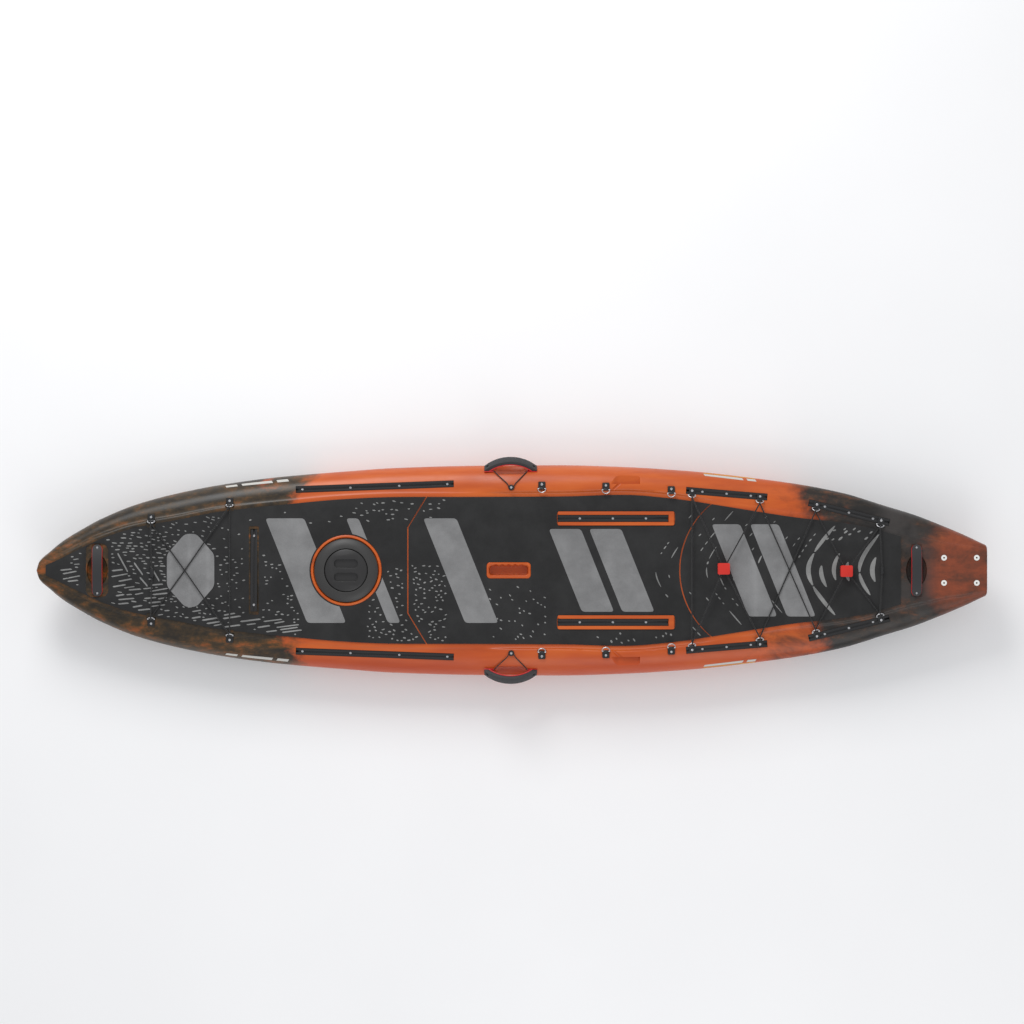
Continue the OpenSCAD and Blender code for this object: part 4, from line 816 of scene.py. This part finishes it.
def keep_clear(x, y):
    """Where no mark is drawn: panels, the hatch, the tracks' surrounds, handles and the grip hole."""
    u = x / HALF_L * 100
    edge = deck_half(u) - min(14, 0.35 * deck_half(u)) - 9
    if abs(y) > edge or not PAD_FORE < x < PAD_AFT:
        return True
    if any(inside((x, y), outline) for _, outline in PANELS):
        return True
    if math.hypot(x - HATCH_X, y) < RIM_OUT + 10:
        return True
    if any(abs(x - cx) < reach and abs(abs(y) - cy) < width for cx, cy, reach, width in KEPT_CLEAR):
        return True
    if any(abs(x - ax) < 24 and abs(y) > ay - 46 for ax, ay, _ in BOW_ANCHORS):
        return True
    return any(abs(x - seam) < SEAM_CLEAR for seam in seams(abs(y)))


def dash(x, y, length, width, heading):
    """A light mark with pointed ends, as a router leaves it in foam."""
    c, s = math.cos(math.radians(heading)), math.sin(math.radians(heading))
    half, w, nib = length / 2, width / 2, min(width, length / 3)
    pts = [(-half, 0), (-half + nib, -w), (half - nib * 0.5, -w * 0.8), (half, 0), (half - nib, w),
           (-half + nib * 0.6, w * 0.9)]
    return [(x + c * a - s * b, y + s * a + c * b) for a, b in pts]


def strewn_marks():
    """Light marks over the pads: dense and long at the bow, sparse amidships, in ripples at the stern."""
    rng = random.Random(11)
    made, taken = [], set()

    def free(x, y, size, w, turn, gap=3.0):
        """Claims the room of a mark, unless another is already there."""
        c, s = math.cos(math.radians(turn)), math.sin(math.radians(turn))
        reach = w / 2 + gap
        cells = {(round((x + c * a - s * b) / 3), round((y + s * a + c * b) / 3))
                 for a in np.arange(-size / 2 - gap, size / 2 + gap + 0.1, 2.5)
                 for b in np.arange(-reach, reach + 0.1, 2.5)}
        if cells & taken:
            return False
        core = {(round((x + c * a - s * b) / 3), round((y + s * a + c * b) / 3))
                for a in np.arange(-size / 2, size / 2 + 0.1, 2.5)
                for b in np.arange(-w / 2, w / 2 + 0.1, 2.0)}
        taken.update(core)
        return True

    def strew(count, x0, x1, y0, y1, length, width, heading, chance=lambda x, y: 1.0):
        """Tries count marks in a rectangle and keeps those that are clear of everything and lucky."""
        for _ in range(count):
            x, y = rng.uniform(x0, x1), rng.uniform(y0, y1)
            size, w, turn = rng.uniform(*length), rng.uniform(*width), rng.uniform(*heading)
            if rng.random() < chance(x, y):
                c, s = math.cos(math.radians(turn)) * size / 2, math.sin(math.radians(turn)) * size / 2
                covered = any(keep_clear(x + c * k, y + s * k) for k in (-1, -0.5, 0, 0.5, 1))
                if not covered and free(x, y, size, w, turn):
                    made.append(dash(x, y, size, w, turn))
    for x, y, size, turn in ((-1500, 30, 84, -62), (-1462, -20, 60, -60), (-1440, 6, 60, -55),
                             (-1376, -14, 66, -60), (-1420, -44, 48, -50)):
        if not keep_clear(x, y) and free(x, y, size, 6, turn):
            made.append(dash(x, y, size, 6, turn))
    strew(900, -1730, -1340, -185, 10, (34, 84), (4.5, 6.5), (4, 11))
    strew(1500, -1700, -1330, -190, 190, (9, 24), (3.5, 5.5), (-16, 10), lambda x, y: 0.55 + 0.4 * (y > -40))
    strew(520, -1370, -1150, -240, 230, (8, 18), (3.5, 5.5), (-30, 12), lambda x, y: 0.5)
    strew(1500, -1380, -840, -290, -128, (34, 90), (5, 7.5), (6, 11),
          lambda x, y: clamp((-y - 110 - (x + 1380) * 0.16) / 30))
    strew(360, -1160, -820, -250, 60, (7, 15), (4, 6), (-8, 14), lambda x, y: 0.62)
    strew(120, -1160, -560, 60, 270, (7, 13), (4, 5.5), (-20, 20), lambda x, y: 0.28)
    strew(560, -560, -250, -285, 20, (7, 15), (4, 6.5), (-30, 30), lambda x, y: 0.72)
    strew(110, -620, -260, 190, 290, (8, 16), (4, 6), (-30, 10), lambda x, y: 0.5)
    strew(90, -100, 130, -270, -60, (7, 13), (4, 6), (-50, -10), lambda x, y: 0.5)
    strew(60, 330, 640, -292, -240, (8, 16), (5, 8), (-60, -20), lambda x, y: 0.5)
    # ripples: nested bows that open aft, fine and broken forward, bold round the centreline towards the stern
    def over_edge(x, y):
        return keep_clear(x, y) or x > RIPPLE_END

    for k in range(RIPPLES):
        x0 = RIPPLE_START + RIPPLE_STEP * k
        aft = x0 > BOLD_FROM
        for step in ((0, 1, -1) if aft else (0,)):
            y = -RIPPLE_Y + rng.uniform(0, 10)
            while y < RIPPLE_Y:
                bold = aft and abs(y + 40) < 150
                if step and bold:
                    y += 20
                    continue
                if bold:
                    run = rng.uniform(70, 150)
                else:
                    run = rng.uniform(24, 60) if rng.random() < 0.22 else rng.uniform(6, 15)
                wide = rng.uniform(15, 20) if bold else (9 if aft else 5) * rng.uniform(0.8, 1.3)
                run = min(run, RIPPLE_Y - y)
                bend = [(x0 + math.hypot(80, 0.95 * q) - 80 + 13 * step, q)
                        for q in (y + run * t / 8 for t in range(9))]
                chance = 0.96 if bold else 0.72 if x0 > 1000 else 0.5
                if run > 5 and rng.random() < chance and not any(over_edge(*q) for q in bend):
                    halves = [wide / 2 * t for t in (0.3, 0.7, 0.92, 1, 1, 1, 0.92, 0.7, 0.3)]
                    fore = [(q[0] - h, q[1]) for q, h in zip(bend, halves)]
                    made.append([(q[0] + h, q[1]) for q, h in zip(bend, halves)] + fore[::-1])
                y += run + (rng.uniform(4, 7) if bold else rng.uniform(6, 14))
    return made


def build_pads():
    marks = strewn_marks()
    for part in ("bow", "centre", "stern"):
        node = NODES["deck_pad_" + part]
        bm = bmesh.new()
        bm.from_mesh(node.data)
        bmesh.ops.remove_doubles(bm, verts=bm.verts, dist=1e-5)
        bmesh.ops.dissolve_limit(bm, angle_limit=math.radians(0.4), verts=bm.verts, edges=bm.edges)
        rim = [e for e in bm.edges if len(e.link_faces) == 2 and e.calc_face_angle(0) > 1.0
               and max(f.normal.z for f in e.link_faces) > 0.7]
        bmesh.ops.bevel(bm, geom=rim, offset=1.3 * MM, segments=2, profile=0.5, affect="EDGES",
                        clamp_overlap=True)
        bmesh.ops.triangulate(bm, faces=[f for f in bm.faces if len(f.verts) > 4])
        mesh = bpy.data.meshes.new("foam_" + part)
        bm.to_mesh(mesh)
        bm.free()
        obj = bpy.data.objects.new("foam_pad_" + part, mesh)
        bpy.context.scene.collection.objects.link(obj)
        verts, faces, kinds = [], [], []
        for where, outline in PANELS:
            if where == part:
                near = part == "bow" and max(p[0] for p in outline) > -1000
                flat_inlay(verts, faces, kinds, outline, PANEL_LIFT, 1, holes=[HATCH_CLEAR] if near else [])
        for m in marks:
            x, y = m[0][0], abs(m[0][1])
            bow_seam, stern_seam = seams(y)
            if part == ("bow" if x < bow_seam else "centre" if x < stern_seam else "stern"):
                flat_inlay(verts, faces, kinds, m, MARK_LIFT, 2, cell=200)
        wear(obj, FOAM, PANEL, ROUTED)
        smooth(obj, 30)
        inlay = new_piece("foam_inlays_" + part, verts, faces)
        wear(inlay, FOAM, PANEL, ROUTED)
        inlay.data.polygons.foreach_set("material_index", kinds)
        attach(obj, "kayak")
        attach(inlay, "kayak")
        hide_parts("deck_pad_" + part)


# ---- Fittings: the CAD source's own pieces, with soft edges and finishes ----
def dress(names, finish, round_by=0.5, angle=32, steps=2):
    """Gives CAD nodes a finish, smooth faces and edges rounded by some millimetres."""
    for name in names:
        obj = NODES[name]
        obj.data.materials.clear()
        obj.data.materials.append(finish)
        if len(obj.data.polygons) > 12:
            smooth(obj, angle)
        if round_by:
            weld = obj.modifiers.new("weld", "WELD")
            weld.merge_threshold = 1e-5
            flat = obj.modifiers.new("flat", "DECIMATE")
            flat.decimate_type, flat.angle_limit = "DISSOLVE", math.radians(0.6)
            edge = obj.modifiers.new("edge", "BEVEL")
            edge.width, edge.segments, edge.limit_method = round_by * MM, steps, "ANGLE"
            edge.angle_limit, edge.use_clamp_overlap, edge.harden_normals = math.radians(38), True, True


def round_ended(node, name, finish, round_by):
    """The bow's and stern's grips and liners: the CAD piece with its two ends drawn in to half circles."""
    bm = bmesh.new()
    bm.from_mesh(NODES[node].data)
    bmesh.ops.remove_doubles(bm, verts=bm.verts, dist=1e-5)
    bmesh.ops.dissolve_limit(bm, angle_limit=math.radians(0.4), verts=bm.verts, edges=bm.edges)
    low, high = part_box(node)
    mid, half, reach = (low.x + high.x) / 2, (high.x - low.x) / 2, high.y
    for sign in (-1, 1):
        for k in range(1, 12):
            y = sign * (reach - half * (1 - math.sin(math.radians(90 * k / 12))))
            bmesh.ops.bisect_plane(bm, geom=bm.verts[:] + bm.edges[:] + bm.faces[:], plane_co=(0, y, 0),
                                   plane_no=(0, 1, 0))
    for v in bm.verts:
        past = max(0.0, abs(v.co.y) - (reach - half)) / half
        v.co.x = mid + (v.co.x - mid) * max(0.12, math.sqrt(max(0.0, 1 - past * past)))
    bmesh.ops.triangulate(bm, faces=[f for f in bm.faces if len(f.verts) > 4])
    mesh = bpy.data.meshes.new(name)
    bm.to_mesh(mesh)
    bm.free()
    obj = bpy.data.objects.new(name, mesh)
    bpy.context.scene.collection.objects.link(obj)
    wear(obj, finish)
    smooth(obj, 30)
    edge = obj.modifiers.new("edge", "BEVEL")
    edge.width, edge.segments, edge.limit_method = round_by * MM, 3, "ANGLE"
    edge.angle_limit, edge.harden_normals = math.radians(40), True
    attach(obj, "kayak")
    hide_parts(node)


def dress_fittings():
    for end in ("bow", "stern"):
        round_ended(end + "_handle_grip", end + "_grip_moulding", RUBBER, 2.2)
        round_ended(end + "_handle_liner", end + "_liner_moulding", RED, 0.8)
    rails = [n for n in NODES if "_track_" in n]
    dress(rails, RAIL, 0.6)
    dress(["hatch_lid", "hatch_tub"], HATCH, 1.2)
    dress(["hatch_turn_handle", "hatch_latch_bar"], TURNER, 1.6, steps=3)
    dress(["hatch_gasket", "drain_seal"], SEAL, 0)
    dress(["port_handle_grip", "starboard_handle_grip"], RUBBER, 2.2, steps=3)
    dress(["port_handle_liner", "starboard_handle_liner"], RED, 0.8)
    dress(["seat_anchor_bases", "bow_anchor_bases", "paddle_bungee_buttons", "bow_bungee_lock"], BLACK, 1.0)
    dress(["track_eyelets", "bungee_hooks", "drain_socket", "drain_plug"], BLACK, 0.7)
    dress(["bungee_hub_front", "bungee_hub_rear"], HUB, 2.0, steps=3)
    dress([n for n in NODES if n.startswith("d_ring_")] + ["bow_anchor_rings", "track_eyelet_rings"], STEEL,
          0)
    dress(["track_screws", "handle_screws", "seat_anchor_screws", "bow_anchor_screws", "button_screws",
           "track_eyelet_bolts"], STEEL, 0.25)
    dress(["mount_inserts"], BRASS, 0.25)
    dress(["mount_washers"], WHITE, 0.4)
    dress(["foam_block_fore", "foam_block_aft"], CORE, 2.0)


# ---- Elastic cords ----
BOW_ROUTE = [(-1388, 7, 220), (-1392, 182, 225), (-1392, 188, 222), (-1392, 188, 217), (-1392, 182, 213),
             (-1380, 164, 216),
             (-1262, 0, 217), (-1091, -246, 213), (-1091, -252, 210), (-1091, -252, 205), (-1091, -246, 202),
             (-1090, -226, 203),
             (-1090, 226, 203), (-1091, 246, 202), (-1091, 252, 205), (-1091, 252, 210), (-1091, 246, 213),
             (-1262, 0, 211),
             (-1380, -164, 216), (-1392, -182, 213), (-1392, -188, 217), (-1392, -188, 222),
             (-1392, -182, 225), (-1388, -27, 220)]
STERN_ROUTE = [(1424, 14, 235), (1416, 167, 237), (1418, 172, 234), (1418, 172, 228), (1416, 167, 225),
               (1287, -3, 239),
               (1170, -229, 209), (1172, -234, 211), (1172, -234, 217), (1170, -229, 220), (1070, 0, 215),
               (956, 260, 204),
               (957, 265, 207), (957, 265, 213), (956, 260, 216), (816, 6, 221), (694, -281, 225),
               (694, -287, 222),
               (694, -287, 217), (694, -281, 214), (694, 281, 214), (694, 287, 217), (694, 287, 222),
               (694, 281, 225),
               (816, 6, 215), (956, -260, 216), (957, -265, 213), (957, -265, 207), (956, -260, 204),
               (1070, 0, 209),
               (1170, 229, 220), (1172, 234, 217), (1172, 234, 211), (1170, 229, 209), (1287, -3, 233),
               (1416, -167, 225),
               (1418, -172, 228), (1418, -172, 234), (1416, -167, 237), (1424, -14, 235)]
KEEPER_ROUTE = [(-70, 384, 174), (-56, 370, 184), (-37, 352, 194), (-19, 336, 200), (-12, 322, 202),
                (-10, 314, 202), (-3, 311, 202),
                (4, 314, 202), (6, 322, 202), (13, 336, 200), (29, 352, 194), (46, 370, 184), (59, 384, 174)]
CORD_D, KEEPER_D = 5, 4


def lay_cord(name, node, route, diameter, corner):
    """A taut elastic cord along its route, with its corners eased round the rings."""
    line = round_corners(route, corner, closed=False, bends=4)
    curve = bpy.data.curves.new(name, "CURVE")
    curve.dimensions, curve.bevel_depth = "3D", diameter / 2 * MM
    curve.bevel_resolution, curve.use_fill_caps = 4, True
    spline = curve.splines.new("POLY")
    spline.points.add(len(line) - 1)
    for point, p in zip(spline.points, line):
        point.co = (*(p * MM), 1)
    spline.use_smooth = True
    obj = bpy.data.objects.new(name, curve)
    bpy.context.scene.collection.objects.link(obj)
    curve.materials.append(CORD)
    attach(obj, "kayak")
    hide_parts(node)


# ---- Plain bars along the flanks ----
def flank_point(side, x, z, proud=0.5):
    """The hull's side at a length and a height, moved out a little."""
    u = x / HALF_L * 100
    half = [Vector(p) for p in hull_ring(u) if p[0] >= 0]
    best = None
    for a, b in zip(half, half[1:]):
        if (a.y - z) * (b.y - z) <= 0 and abs(a.y - b.y) > 1e-6:
            y = a.x + (b.x - a.x) * (z - a.y) / (b.y - a.y)
            if best is None or y > best[0]:
                n = Vector((b.y - a.y, a.x - b.x)).normalized()
                best = (y, n if n.x > 0 else -n)
    y, n = best
    return (x, side * (y + n.x * proud), z + n.y * proud)


def flank_stripe(verts, faces, kinds, side, x0, length, z0, height, lean, kind, cells=14):
    """A thin slanted bar that follows the flank: closed, half a millimetre proud and as much sunk."""
    base, rows = len(verts), 3
    for proud in (0.55, -1.0):
        for i in range(cells + 1):
            for j in range(rows + 1):
                t = j / rows
                z = z0 + height * t
                verts.append(flank_point(side, x0 + length * i / cells + lean * t, z, proud))
    wide, layer = rows + 1, (cells + 1) * (rows + 1)
    at = lambda level, i, j: base + level * layer + i * wide + j
    for i in range(cells):
        for j in range(rows):
            quad = (at(0, i, j), at(0, i + 1, j), at(0, i + 1, j + 1), at(0, i, j + 1))
            faces.append(quad)
            faces.append(tuple(v + layer for v in reversed(quad)))
            kinds += [kind, kind]
    rim = [(i, 0) for i in range(cells)] + [(cells, j) for j in range(rows)]
    rim += [(i, rows) for i in range(cells, 0, -1)] + [(0, j) for j in range(rows, 0, -1)]
    for a, b in zip(rim, rim[1:] + rim[:1]):
        faces.append((at(0, *b), at(0, *a), at(1, *a), at(1, *b)))
        kinds.append(kind)


def build_stripes():
    for side, name in ((1, "starboard"), (-1, "port")):
        verts, faces, kinds = [], [], []
        for x0, length in ((-1112, 44), (-1050, 118), (-914, 44)):
            flank_stripe(verts, faces, kinds, side, x0, length, 146, 12, 6, 0)
        for x0, length in ((742, 150), (908, 34)):
            flank_stripe(verts, faces, kinds, side, x0, length, 151, 11, 5, 0)
        flank_stripe(verts, faces, kinds, side, 742, 200, 141, 4, 3, 1)
        obj = new_piece("flank_stripes_" + name, verts, faces)
        wear(obj, WHITE_STRIPE, YELLOW_STRIPE)
        obj.data.polygons.foreach_set("material_index", kinds)
        face_outwards(obj)
        smooth(obj, 40)
        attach(obj, "kayak")


# ---- The object ----
def build_kayak():
    hull = build_hull()
    hull.name = "moulded_hull"
    wear(hull, HULL)
    smooth(hull, 34)
    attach(hull, "kayak")
    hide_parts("hull")
    build_pads()
    dress_fittings()
    lay_cord("bow_cord", "bow_bungee", BOW_ROUTE, CORD_D, 5)
    lay_cord("stern_cord", "stern_bungee", STERN_ROUTE, CORD_D, 5)
    lay_cord("starboard_keeper_cord", "paddle_bungee_starboard", KEEPER_ROUTE, KEEPER_D, 9)
    lay_cord("port_keeper_cord", "paddle_bungee_port", [(x, -y, z) for x, y, z in KEEPER_ROUTE], KEEPER_D, 9)
    build_stripes()


# ---- Studio ----
def add_lamp(name, power, size, at):
    data = bpy.data.lights.new(name, "AREA")
    data.energy, data.size = power, size
    lamp = bpy.data.objects.new(name, data)
    lamp.location = at
    lamp.rotation_euler = (Vector((0, 0, 0.1)) - Vector(at)).to_track_quat("-Z", "Y").to_euler()
    bpy.context.scene.collection.objects.link(lamp)


def build_studio():
    bpy.context.scene.view_settings.view_transform = "Standard"
    r = 14000
    floor = new_piece("floor", [(-r, -r, -1), (r, -r, -1), (r, r, -1), (-r, r, -1)], [(0, 1, 2, 3)])
    mat, f, shader = new_finish("studio_floor", Roughness=0.75, Specular_IOR_Level=0.2)
    where = f.node("ShaderNodeTexCoord", out=3)
    f.tree.links.new(f.blend(f.noise(where, 1.2, 3, 0.5), paint(246, 246, 246), paint(252, 252, 252)),
                     shader.inputs["Base Color"])
    wear(floor, mat)
    world = bpy.data.worlds.new("pale_room")
    world.use_nodes = True
    world.node_tree.nodes["Background"].inputs["Color"].default_value = (0.96, 0.97, 1.0, 1)
    world.node_tree.nodes["Background"].inputs["Strength"].default_value = 0.64
    bpy.context.scene.world = world
    add_lamp("key", 235, 3.0, (-1.6, 5.4, 4.2))
    add_lamp("fill", 90, 4.0, (1.4, -5.2, 4.4))
    cam = bpy.data.cameras.new("camera")
    cam.lens, cam.sensor_width, cam.shift_y, cam.clip_end = 100, 36, 0.057, 100
    view = bpy.data.objects.new("camera", cam)
    view.location = (0, 0, 11.18)
    bpy.context.scene.collection.objects.link(view)
    bpy.context.scene.camera = view


build_studio()
build_kayak()
